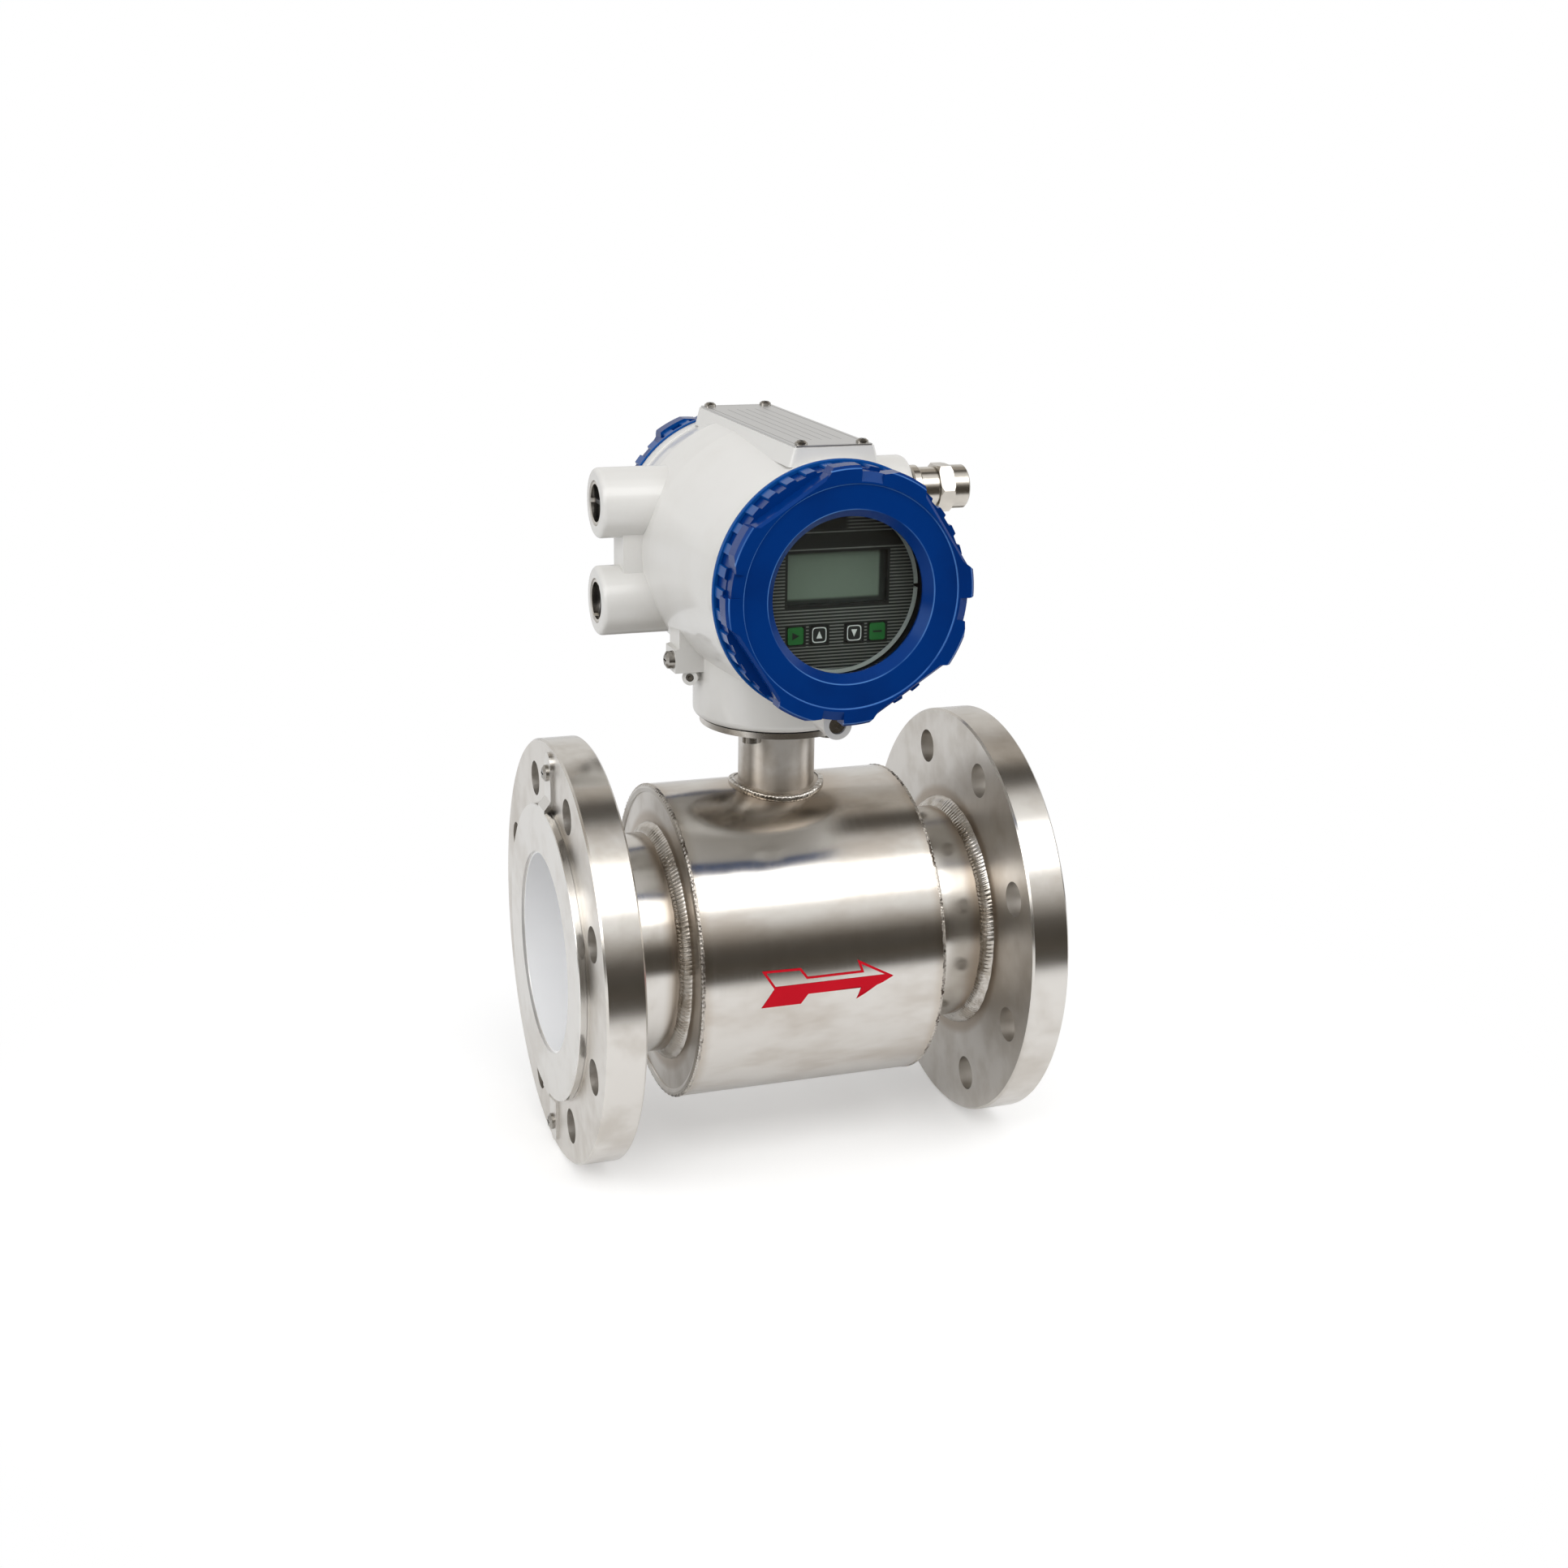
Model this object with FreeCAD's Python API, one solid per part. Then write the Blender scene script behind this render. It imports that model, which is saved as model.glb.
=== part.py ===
import FreeCAD, Part
import math
import os

from FreeCAD import Vector

# An electromagnetic flow meter for a DN 100, PN 16 pipe. Millimetres.
# +X is the flow direction and runs along the pipe, +Z is up, and the display faces -Y.
# The origin is the centre of the inlet flange's outer face.

# ---- pipe side -------------------------------------------------------------------
flange_gap = 240.0          # outer face of one flange to outer face of the other
flange_od = 220.0
flange_t = 20.0
flange_edge = 1.0           # chamfer on the flange rims
bolt_margin = 20.0          # from the bolt circle to the flange's rim
bolt_count = 8
bolt_hole_d = 18.0
tube_od = 114.3
tube_wall = 3.0
weld_gap = 0.1              # radial gap that a weld bridges
liner_wall = 3.0
face_margin = 12.5          # from the raised face to the bolt circle
raised_t = 1.4
flare_margin = 3.0          # from the liner's flare to the raised face's rim
flare_t = 2.0
ring_margin = 0.5           # from the grounding ring's rim to the raised face's rim
ring_bore_gap = 1.25        # how far the grounding ring stands back from the liner's bore
ring_t = 1.6
rim_gap = 0.1               # between the ring's rim and the raised face
rim_wall = 2.0
ear_width = 13.5
ear_margin = 3.5            # from an ear's tip to the flange's rim
ear_tip = 10.5              # from an ear's screw to its tip
ear_foot = 1.0              # from the ring's rim to where the ear bends
ear_slope = 4.5             # length of the bend back to the flange

# ---- coil housing ----------------------------------------------------------------
coil_space = 6.05           # between the yoke and the shell
shell_wall = 3.0
shell_length = 128.0
end_plate_t = 4.0
fillet_leg = 5.0            # weld at a tube joint
seam_bead = 1.3             # weld bead on the shell's two rims
pole_reach = 30.0           # half length of a pole shoe along the pipe
pole_angle = 48.0           # half angle of a pole shoe
pole_t = 2.5
coil_reach = 38.0
coil_angle = 56.0
coil_core = 15.0            # half size of the window in a coil
coil_gap = 0.5
coil_t = 10.0
yoke_t = 2.0
electrode_r = 3.0
electrode_head_r = 6.0
electrode_head_t = 1.6
electrode_tail = 5.05       # stem beyond the nut
electrode_seat = 0.45       # the head's flat back stays this far inside the curved bore
bush_r = 6.0
bush_flange_r = 8.5
bush_flange_t = 3.0
nut_af = 11.0
nut_t = 4.5

# ---- stem ------------------------------------------------------------------------
stem_od = 39.6
stem_wall = 3.0
stem_bead = 2.4
plate_r = 40.0
plate_t = 3.0
plate_top = 118.2           # height above the pipe axis
base_gasket_t = 0.8
base_screw_circle = 58.0
base_screw_r = 3.0
base_screw_head_r = 5.0
base_screw_head_t = 5.0
base_screw_grip = 6.0       # length of thread in the housing's floor

# ---- transmitter housing ---------------------------------------------------------
head_height = 200.5         # cover axis above the pipe axis
barrel_r = 60.0
barrel_half = 81.3          # half length of the barrel, between the two covers
barrel_bore_r = 54.5
waist_r = 65.6              # the casting swells to this between its two ends
waist_front = -10.0         # where the swell is full, out from the head's centre
waist_back = -42.0
casting_wall = 5.6
spigot_r = 54.0             # threaded spigot inside each cover
spigot_bore_r = 48.0
spigot_half = 93.0
rim_width = 7.0             # raised rim next to each cover
rim_rise = 0.6
partition_y = 7.0           # wall between electronics and terminals
partition_t = 4.0
neck_r = 43.5
neck_bore_r = 37.0
neck_floor_t = 8.0
neck_edge = 3.5
wire_hole_r = 15.0
pad_half_width = 20.0
pad_foot = 2.5              # how far the pad's long sides lean out on their way down
pad_root = 57.0             # foot of the pad above the cover axis
pad_front = -77.0
pad_back = 75.0
pad_rise = 66.0             # top of the pad above the cover axis
boss_r = 17.8
boss_y = 32.5
boss_offset = 25.0          # left entries lie this far above and below the cover axis
right_boss_rise = 26.0
left_boss_end = 87.5        # distance from the cover axis to an entry's face
right_boss_end = 80.0
entry_r = 11.5
entry_core_r = 9.4
entry_depth = 12.0
web_end = 75.2
web_half = 9.4
lug_x = 57.4                # outer face of the earth lug, from the cover axis
lug_front = -9.5
lug_back = 7.5
lug_low = 145.2
lug_foot = 11.8             # height of the lug's thicker foot
lug_step = 2.1
lug_high = 170.0
earth_z = 151.5
earth_y = -4.8
clamp_boss_r = 4.0
clamp_boss_x = 49.4
clamp_boss_y = -8.0
clamp_angle = 30.0          # the clamp screw points at the stem, this far round from the display side
clamp_drop = 2.9            # clamp screw below the lug's underside
lock_lug_r = 7.2
lock_x = 3.0
lock_drop = 67.5            # lock screw below the cover axis
lock_length = 16.0
cast_edge = 2.0             # rounding of the casting's edges
left_mouth_edge = 2.6       # rounding of the entries' mouths
right_mouth_edge = 4.0

# ---- covers ----------------------------------------------------------------------
seat_gap = 0.35             # running gap between a cover and the housing
thread_gap = 0.3
lip_r = 61.5
lip_t = 2.4
tooth_count = 36
tooth_root_r = 59.1
tooth_tip_r = 60.4
tooth_share = 0.44          # part of the pitch that a tooth fills
band_end = 95.0             # where the toothed band meets the hub
hub_r = 61.5
hub_end = 105.0
hub_edge = 1.6
flat_distance = 55.2        # from the cover axis to each of the four flats
flat_angle = -33.0          # middle of the first flat, clockwise from the top
flat_half = 20.7
flat_edge = 1.3             # chamfer along each flat
notch_from = 2.5            # the notch after each lobe's step
notch_to = 14.0
ramp_to = 21.0
notch_depth = 2.8
notch_inner_r = 54.2        # the notch slopes up to this radius on the cover's face
notch_drop = 3.6            # and this far behind the face at the rim
face_ring_out = 53.0        # recessed ring on the cover's face
face_ring_in = 41.3
face_ring_depth = 1.0
window_r = 37.3
bevel_depth = 5.0
cavity_end = 94.0           # floor of the groove that takes the spigot
carrier_r = 47.2            # outside of the glass carrier
carrier_start = 86.6
glass_r = 43.8
glass_t = 7.0
glass_gasket_t = 0.5
glass_seat = 97.8
glass_gap = 0.2
retainer_t = 3.0
retainer_bore_r = 39.6
oring_r = 1.35
oring_groove = 3.3
rear_dish_depth = 2.0
rear_dish_r = 47.0

# ---- display ---------------------------------------------------------------------
panel_front = 82.0          # distance of the panel's face from the head's centre
panel_t = 2.5
panel_r = 38.6
bezel_t = 1.8
bezel_depth = 6.5
bezel_proud = 0.6
lcd_width = 50.0
lcd_height = 25.0
lcd_rise = 5.5
lcd_margin = 2.5
lcd_front = 78.0
board_front = 72.4
board_t = 1.6
board_r = 36.0
key_drop = 21.3
key_inner = 8.8
key_outer = 20.6
key_width = 7.9
key_height = 8.3
key_gap = 0.25
key_proud = 0.3
key_travel = 0.5
key_flange = 1.0
key_flange_t = 1.0
key_lift = 0.3              # from the panel's back to the key's flange
switch_size = 6.0
post_r = 2.5
post_circle = 33.0
post_first = 0.0            # angle of the first panel post
main_board_front = 40.0
main_board_r = 46.0
pillar_r = 3.0
pillar_circle = 42.0
terminal_width = 72.0
terminal_height = 18.0
terminal_depth = 15.0
terminal_count = 8
terminal_screw_r = 2.6

# ---- small parts -----------------------------------------------------------------
nameplate_t = 0.8
nameplate_margin = 0.8
rivet_inset = 4.0
small_screw_r = 1.5
small_head_r = 3.0
small_head_t = 2.0
small_screw_depth = 6.0
ear_screw_core = 2.0
ear_head_r = 4.2
ear_head_t = 2.6
ear_screw_depth = 8.0
cross_width = 0.9
cross_depth = 0.9
earth_core = 2.5
earth_head_r = 4.4
earth_head_t = 2.6
earth_screw_depth = 9.0
washer_t = 0.8
washer_r = 4.6
plug_ring_t = 8.0
plug_recess = 0.5
plug_wall = 1.9
plug_face_drop = 4.5
plug_slot = 2.2
plug_edge = 0.5
gland_thread_r = 9.6
gland_thread_length = 12.0
gland_bore_r = 7.0
gland_washer_r = 11.4
gland_washer_t = 2.0
gland_collar_r = 12.2
gland_collar_length = 5.0
gland_barrel_r = 10.9
gland_barrel_length = 9.6
gland_nut_af = 24.0
gland_hex_length = 8.0
gland_end_r = 11.5
gland_end_length = 9.0
gland_seal_bore_r = 5.0
gland_seal_length = 11.0
gland_seal_r = 8.6
gland_mouth_r = 7.0

# ---- places worked out from the sizes above ---------------------------------------
mid = flange_gap / 2
tube_r = tube_od / 2
bore_r = tube_r - tube_wall - liner_wall
flange_r = flange_od / 2
bolt_circle_r = flange_r - bolt_margin
raised_r = bolt_circle_r - face_margin
flare_r = raised_r - flare_margin
ring_r = raised_r - ring_margin
ear_reach = flange_r - ear_margin
ear_screw_r = ear_reach - ear_tip
flare_front = raised_t + flare_t        # outer face of the flare, from the flange
ring_front = flare_front + ring_t       # outer face of a grounding ring
gland_stop = gland_washer_t + gland_collar_length + gland_barrel_length
shell_start = mid - shell_length / 2
shell_end = mid + shell_length / 2
pole_r = tube_r + 0.3
coil_r = pole_r + pole_t + coil_gap
yoke_r = coil_r + coil_t + coil_gap
shell_r = yoke_r + yoke_t + coil_space + shell_wall
bush_seat = tube_r + 0.3
nut_seat = bush_seat + bush_flange_t
electrode_reach = nut_seat + nut_t + electrode_tail
base_z = plate_top + base_gasket_t
axis_x = Vector(1, 0, 0)
axis_z = Vector(0, 0, 1)
out = Vector(0, -1, 0)                  # outward on the display side
clamp_way = Vector(math.sin(math.radians(clamp_angle)), math.cos(math.radians(clamp_angle)), 0)
head = Vector(mid, 0, head_height)
cover_start = barrel_half + seat_gap


def cylinder(radius, length, base, direction):
    """A cylinder of a radius and length from its base point along a direction."""
    return Part.makeCylinder(radius, length, base, direction)


def tube(outer, inner, length, base, direction):
    """A round tube with outer and inner radii."""
    return cylinder(outer, length, base, direction).cut(cylinder(inner, length, base, direction))


def block(low, high):
    """A box between two corners."""
    size = high - low
    return Part.makeBox(size.x, size.y, size.z, low)


def turned(profile, base, direction, side):
    """A solid of revolution. Each point of the profile is (distance along, radius)."""
    points = [base + direction * along + side * radius for along, radius in profile]
    face = Part.Face(Part.makePolygon(points + [points[0]]))
    return face.revolve(base, direction, 360)


def hexagon(across_flats, length, base, direction, side):
    """A hexagonal prism that starts at a base point."""
    corner = across_flats / math.sqrt(3)
    across = direction.cross(side)
    points = [base + side * (corner * math.cos(math.radians(60 * k)))
              + across * (corner * math.sin(math.radians(60 * k))) for k in range(7)]
    return Part.Face(Part.makePolygon(points)).extrude(direction * length)


def rounded_block(low, high, radius, direction):
    """A box whose edges along one direction are rounded."""
    box = block(low, high)
    edges = [e for e in box.Edges if abs(e.tangentAt(e.FirstParameter).dot(direction)) > 0.9]
    return box.makeFillet(radius, edges)


def pan_screw(tip, direction, core, depth, head_r, head_t, seat=0.0):
    """A pan head cross screw: the head stands on the surface at tip, its shank runs inwards."""
    side = Vector(0, 0, 1) if abs(direction.z) < 0.5 else Vector(1, 0, 0)
    across = direction.cross(side)
    profile = [(-depth, 0), (-depth, core), (seat, core), (seat, head_r),
               (seat + head_t * 0.55, head_r), (seat + head_t, head_r * 0.62), (seat + head_t, 0)]
    screw = turned(profile, tip, direction, side)
    for one, other in ((side, across), (across, side)):
        low = tip + direction * (seat + head_t - cross_depth)
        points = [low + one * (a * head_r * 0.55) + other * (b * cross_width / 2)
                  for a, b in ((-1, -1), (1, -1), (1, 1), (-1, 1), (-1, -1))]
        screw = screw.cut(Part.Face(Part.makePolygon(points)).extrude(direction * head_t))
    return screw


def head_point(along, radius, angle):
    """A point on the display side: distance out, radius, and angle clockwise from the top."""
    a = math.radians(angle)
    return head + out * along + Vector(radius * math.sin(a), 0, radius * math.cos(a))


def to_rear(shape):
    """The same shape on the terminal side of the head."""
    return shape.copy().rotate(head, axis_z, 180)


def group(solids):
    """Separate solids that share one node."""
    return Part.makeCompound(solids)


# ---- pipe side -------------------------------------------------------------------
def fillet_weld(base, direction, radius):
    """A ring of weld metal in the corner between a tube and a face."""
    leg = fillet_leg
    profile = [(0, radius), (0, radius + leg), (leg * 0.45, radius + leg * 0.62), (leg, radius)]
    return turned(profile, base, direction, axis_z)


def flange(face_x, inward):
    """A slip-on flange with its bolt holes, and the weld to the tube on its inner face."""
    direction = axis_x * inward
    base = Vector(face_x, 0, 0)
    inner = tube_r + weld_gap
    r, e = flange_r, flange_edge
    profile = [(-raised_t, inner), (-raised_t, raised_r), (0, raised_r), (0, r - e), (e, r),
               (flange_t - e, r), (flange_t, r - e), (flange_t, inner)]
    body = turned(profile, base, direction, axis_z)
    holes = []
    for k in range(bolt_count):
        angle = math.radians((k + 0.5) * 360 / bolt_count)
        centre = Vector(0, math.sin(angle), math.cos(angle)) * bolt_circle_r
        holes.append(cylinder(bolt_hole_d / 2, flange_t, base + centre, direction))
    for side in (1, -1):
        tip = base + Vector(0, 0, side * ear_screw_r)
        holes.append(cylinder(ear_screw_core, ear_screw_depth + 1, tip, direction))
    body = body.cut(group(holes))
    return body.fuse(fillet_weld(base + direction * flange_t, direction, inner))


def measuring_tube():
    """The non-magnetic tube, with two side holes for the electrodes."""
    body = tube(tube_r, tube_r - tube_wall, flange_gap + 2 * raised_t, Vector(-raised_t, 0, 0), axis_x)
    hole = cylinder(bush_r + thread_gap, 2 * shell_r, Vector(mid, -shell_r, 0), Vector(0, 1, 0))
    return body.cut(hole)


def flow_liner():
    """The white liner: a tube turned out over both flange faces."""
    inner, outer, lip = bore_r, bore_r + liner_wall, flare_r
    near, far = flange_gap + raised_t, flange_gap + flare_front
    profile = [(-flare_front, inner), (-flare_front, lip), (-raised_t, lip), (-raised_t, outer),
               (near, outer), (near, lip), (far, lip), (far, inner)]
    body = turned(profile, Vector(0, 0, 0), axis_x, axis_z)
    hole = cylinder(electrode_r + 0.1, tube_od, Vector(mid, -tube_r, 0), Vector(0, 1, 0))
    return body.cut(hole)


def ring_ear(side):
    """An ear of the grounding ring: it leaves the ring's plane and bends back to the flange."""
    high, low = ring_front, flare_front
    foot = ring_r + ear_foot
    inner, bent = foot - rim_wall, foot + ear_slope
    points = [(high, inner), (high, foot), (ring_t, bent), (ring_t, ear_reach), (0, ear_reach),
              (0, bent - 1), (low, foot - 1), (low, inner)]
    half = ear_width / 2
    corners = [Vector(-along, -half, side * radius) for along, radius in points]
    strap = Part.Face(Part.makePolygon(corners + [corners[0]])).extrude(Vector(0, ear_width, 0))
    tip = Vector(-high, 0, side * (ear_reach - half))
    far = Vector(-high, -half, side * ear_reach - half)
    square = block(far, far + Vector(high, ear_width, ear_width))
    strap = strap.cut(square.cut(cylinder(half, high, tip, axis_x)))
    hole = cylinder(ear_screw_core + 0.2, high, Vector(-high, 0, side * ear_screw_r), axis_x)
    return strap.cut(hole)


def grounding_ring(inlet):
    """A thin ring over the liner's flare, with a folded rim and two ears."""
    r, b, high = ring_r, bore_r + ring_bore_gap, ring_front
    rim, inner = raised_t + rim_gap, ring_r - rim_wall
    profile = [(-high, b), (-high, r - 0.4), (-high + 0.4, r), (-rim, r), (-rim, inner),
               (-flare_front, inner), (-flare_front, b)]
    body = turned(profile, Vector(0, 0, 0), axis_x, axis_z)
    body = body.fuse([ring_ear(1), ring_ear(-1)]).removeSplitter()
    if inlet:
        return body
    return body.rotate(Vector(mid, 0, 0), axis_z, 180)


def ring_screws():
    """Four pan head screws that hold the ears to the flanges."""
    screws = []
    for face_x, direction in ((0, axis_x * -1), (flange_gap, axis_x)):
        for side in (1, -1):
            tip = Vector(face_x, 0, side * ear_screw_r)
            screws.append(pan_screw(tip, direction, ear_screw_core, ear_screw_depth, ear_head_r,
                                    ear_head_t, ring_t))
    return group(screws)


# ---- coil housing ----------------------------------------------------------------
def coil_housing_shell():
    """The outer shell of the sensor, open under the stem."""
    body = tube(shell_r, shell_r - shell_wall, shell_length, Vector(shell_start, 0, 0), axis_x)
    return body.cut(cylinder(stem_od / 2 - stem_wall, 2 * shell_r, Vector(mid, 0, 0), axis_z))


def end_plate(face_x, inward):
    """An annular end plate, its weld to the tube and the bead on the shell's rim."""
    direction = axis_x * inward
    base = Vector(face_x, 0, 0)
    inner = tube_r + weld_gap
    body = tube(shell_r - shell_wall, inner, end_plate_t, base, direction)
    low, high = shell_r - shell_wall - seam_bead, shell_r
    bead = [(0, low), (0, high), (-seam_bead * 0.5, high - 0.2), (-seam_bead, (low + high) / 2),
            (-seam_bead * 0.5, low + 0.2)]
    return body.fuse([fillet_weld(base, direction * -1, inner), turned(bead, base, direction, axis_z)])


def sector(inner, outer, reach, half_angle):
    """A piece of tube about the pipe axis, centred on the top, of a half length and half angle."""
    body = tube(outer, inner, 2 * reach, Vector(mid - reach, 0, 0), axis_x)
    far = outer * 2
    a = math.radians(half_angle)
    wedge = [Vector(mid - reach, 0, 0), Vector(mid - reach, far * math.sin(a), far * math.cos(a)),
             Vector(mid - reach, 0, far * 2), Vector(mid - reach, -far * math.sin(a), far * math.cos(a))]
    face = Part.Face(Part.makePolygon(wedge + [wedge[0]]))
    return body.common(face.extrude(axis_x * (2 * reach)))


def pole_shoe():
    """A curved shoe on the tube with the core that carries the coil and meets the yoke."""
    shoe = sector(pole_r, pole_r + pole_t, pole_reach, pole_angle)
    half = coil_core - coil_gap
    core = block(Vector(mid - half, -half, pole_r), Vector(mid + half, half, yoke_r + 5))
    core = core.common(tube(yoke_r, pole_r + pole_t * 0.5, 2 * half, Vector(mid - half, 0, 0), axis_x))
    return shoe.fuse(core).removeSplitter()


def saddle_coil():
    """A saddle coil around the core of a pole shoe."""
    body = sector(coil_r, coil_r + coil_t, coil_reach, coil_angle)
    window = block(Vector(mid - coil_core, -coil_core, 0), Vector(mid + coil_core, coil_core, shell_r))
    return body.cut(window)


def under(shape):
    """The same shape on the underside of the tube."""
    return shape.copy().rotate(Vector(mid, 0, 0), axis_x, 180)


def return_yoke():
    """The steel band that closes the magnetic path outside the coils."""
    return tube(yoke_r + yoke_t, yoke_r, 2 * coil_reach, Vector(mid - coil_reach, 0, 0), axis_x)


def electrode():
    """A measuring electrode: domed head on the liner, stem out through the wall."""
    head_out = bore_r - electrode_seat
    tip = head_out - electrode_head_t
    profile = [(tip, 0), (tip, electrode_head_r * 0.6), (head_out - 0.4, electrode_head_r),
               (head_out, electrode_head_r * 0.9), (head_out, electrode_r),
               (electrode_reach, electrode_r), (electrode_reach, 0)]
    return turned(profile, Vector(mid, 0, 0), out, axis_z)


def electrode_bush():
    """The insulating bush that seals the electrode in the tube wall."""
    start, seat = bore_r + liner_wall + 0.5, bush_seat
    inner = electrode_r + 0.1
    profile = [(start, inner), (start, bush_r), (seat, bush_r), (seat, bush_flange_r),
               (nut_seat, bush_flange_r), (nut_seat, inner)]
    return turned(profile, Vector(mid, 0, 0), out, axis_z)


def electrode_nut():
    """The nut that pulls the electrode tight."""
    base = Vector(mid, 0, 0) + out * nut_seat
    nut = hexagon(nut_af, nut_t, base, out, axis_z)
    return nut.cut(cylinder(electrode_r, nut_t, base, out))


def to_back(shape):
    """The same shape on the far side of the tube."""
    return shape.copy().rotate(Vector(mid, 0, 0), axis_z, 180)


# ---- stem ------------------------------------------------------------------------
def stem():
    """The hollow stem, cut to sit on the shell, with its weld bead."""
    bottom = Vector(mid, 0, shell_r - stem_od / 4)
    length = plate_top - plate_t - bottom.z
    body = tube(stem_od / 2, stem_od / 2 - stem_wall, length, bottom, axis_z)
    shell = cylinder(shell_r, shell_length, Vector(shell_start, 0, 0), axis_x)
    body = body.cut(shell)
    outer, inner = stem_od / 2 + stem_bead, stem_od / 2 - 0.5
    collar = tube(outer, inner, shell_r * 2, Vector(mid, 0, 0), axis_z)
    wide = cylinder(shell_r + stem_bead * 0.7, shell_length, Vector(shell_start, 0, 0), axis_x)
    bead = collar.common(wide).cut(shell)
    bead = bead.common(cylinder(stem_od, stem_od, bottom, axis_z))
    return body.fuse(bead).removeSplitter()


def base_screw_places():
    """The four screws under the plate, turned so that two show beside the stem."""
    places = []
    for k in range(4):
        angle = math.radians(45 + 90 * k)
        places.append(Vector(math.cos(angle), math.sin(angle), 0) * (base_screw_circle / 2))
    return places


def stem_plate():
    """The disc on top of the stem that the housing stands on."""
    base = Vector(mid, 0, plate_top - plate_t)
    body = tube(plate_r, stem_od / 2 - stem_wall, plate_t, base, axis_z)
    holes = [cylinder(base_screw_r + 0.3, plate_t, base + p, axis_z) for p in base_screw_places()]
    return body.cut(group(holes))


def base_gasket():
    """The flat gasket between the plate and the housing."""
    base = Vector(mid, 0, plate_top)
    body = tube(plate_r - 1, wire_hole_r + 2, base_gasket_t, base, axis_z)
    holes = [cylinder(base_screw_r + 0.5, base_gasket_t, base + p, axis_z) for p in base_screw_places()]
    return body.cut(group(holes))


def base_screws():
    """Four socket head screws, driven up through the plate."""
    screws = []
    seat = plate_top - plate_t
    for place in base_screw_places():
        tip = Vector(mid, 0, seat) + place
        end = tip - axis_z * base_screw_head_t
        length = plate_t + base_gasket_t + base_screw_grip
        body = cylinder(base_screw_r, length, tip, axis_z)
        cap = cylinder(base_screw_head_r, base_screw_head_t, end, axis_z)
        socket = hexagon(base_screw_head_r, base_screw_head_t / 2, end, axis_z, axis_x)
        screws.append(body.fuse(cap).cut(socket))
    return group(screws)


# ---- transmitter housing ---------------------------------------------------------
def barrel():
    """The swelling barrel with its end rims and the two spigots that take the covers."""
    h, rim = barrel_half, barrel_half - rim_width
    high = barrel_r + rim_rise
    profile = [(-spigot_half, 0), (-spigot_half, spigot_r), (-h, spigot_r), (-h, high), (-rim, high),
               (-rim + rim_rise, barrel_r), (waist_back, waist_r), (waist_front, waist_r),
               (rim - rim_rise, barrel_r), (rim, high), (h, high), (h, spigot_r),
               (spigot_half, spigot_r), (spigot_half, 0)]
    return turned(profile, head, out, axis_z)


def barrel_hollow():
    """The front and rear compartments, with the wall between them left standing."""
    deep, wide = barrel_half - rim_width, waist_r - casting_wall
    mouth = [(deep, barrel_bore_r), (deep + 4, spigot_bore_r), (spigot_half, spigot_bore_r),
             (spigot_half, 0)]
    front = turned([(-partition_y, 0), (-partition_y, wide)] + mouth, head, out, axis_z)
    wall = partition_y + partition_t
    rear = turned([(wall, 0), (wall, wide), (-waist_back, wide)] + mouth, head, out * -1, axis_z)
    return front, rear


def neck():
    """The round foot of the casting, with a rounded lower rim."""
    body = cylinder(neck_r, head_height - base_z, Vector(mid, 0, base_z), axis_z)
    rim = [e for e in body.Edges if abs(e.CenterOfMass.z - base_z) < 0.01 and e.Length > neck_r]
    return body.makeFillet(neck_edge, rim)


def nameplate_pad():
    """The raised pad along the top: its long sides lean out, and its corners are rounded."""
    half, root, top = pad_half_width, head_height + pad_root, head_height + pad_rise
    outline = [(-half - pad_foot, root), (-half, top), (half, top), (half + pad_foot, root)]
    points = [Vector(mid + x, pad_front, z) for x, z in outline]
    body = Part.Face(Part.makePolygon(points + [points[0]])).extrude(Vector(0, pad_back - pad_front, 0))
    corners = [e for e in body.Edges if abs(e.tangentAt(e.FirstParameter).z) > 0.7]
    return body.makeFillet(cast_edge, corners)


def entry_boss(side, height, end, edge):
    """A round boss for a cable entry, with a rounded mouth."""
    start = barrel_r * 0.45
    base = Vector(mid + side * start, boss_y, head_height + height)
    body = cylinder(boss_r, end - start, base, axis_x * side)
    rim = [e for e in body.Edges if abs(e.CenterOfMass.x - (mid + side * end)) < 0.01 and e.Length > boss_r]
    return body.makeFillet(edge, rim)


def entry_web():
    """The web that joins the two left bosses."""
    return block(Vector(mid - web_end, boss_y - web_half, head_height - boss_offset),
                 Vector(mid - barrel_r * 0.7, boss_y + web_half, head_height + boss_offset))


def earth_lug():
    """The lug for the outside earth screw, thicker at its foot, with a clamping boss under it."""
    face, step = mid - lug_x, mid - lug_x + lug_step
    inside = mid - barrel_r * 0.55
    foot = lug_low + lug_foot
    points = [(face, lug_low), (face, foot), (step, foot + 0.5), (step, lug_high),
              (step + 4, lug_high + 4), (inside, lug_high + 7), (inside, lug_low)]
    corners = [Vector(x, lug_front, z) for x, z in points]
    body = Part.Face(Part.makePolygon(corners + [corners[0]])).extrude(Vector(0, lug_back - lug_front, 0))
    return body.fuse(cylinder(clamp_boss_r, neck_r * 0.4, clamp_tip(), clamp_way))


def clamp_tip():
    """The face centre of the clamping boss."""
    return Vector(mid - clamp_boss_x, clamp_boss_y, lug_low - clamp_drop)


def lock_lug():
    """The lug under the front cover that carries its locking screw."""
    start = head + out * (barrel_half - lock_length)
    centre = start + Vector(lock_x, 0, -lock_drop)
    round_part = cylinder(lock_lug_r, lock_length, centre, out)
    high = centre + Vector(lock_lug_r, 0, lock_drop - barrel_r + 6)
    link = block(Vector(centre.x - lock_lug_r, centre.y - lock_length, centre.z),
                 Vector(high.x, centre.y, high.z))
    return round_part.fuse(link)


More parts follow.
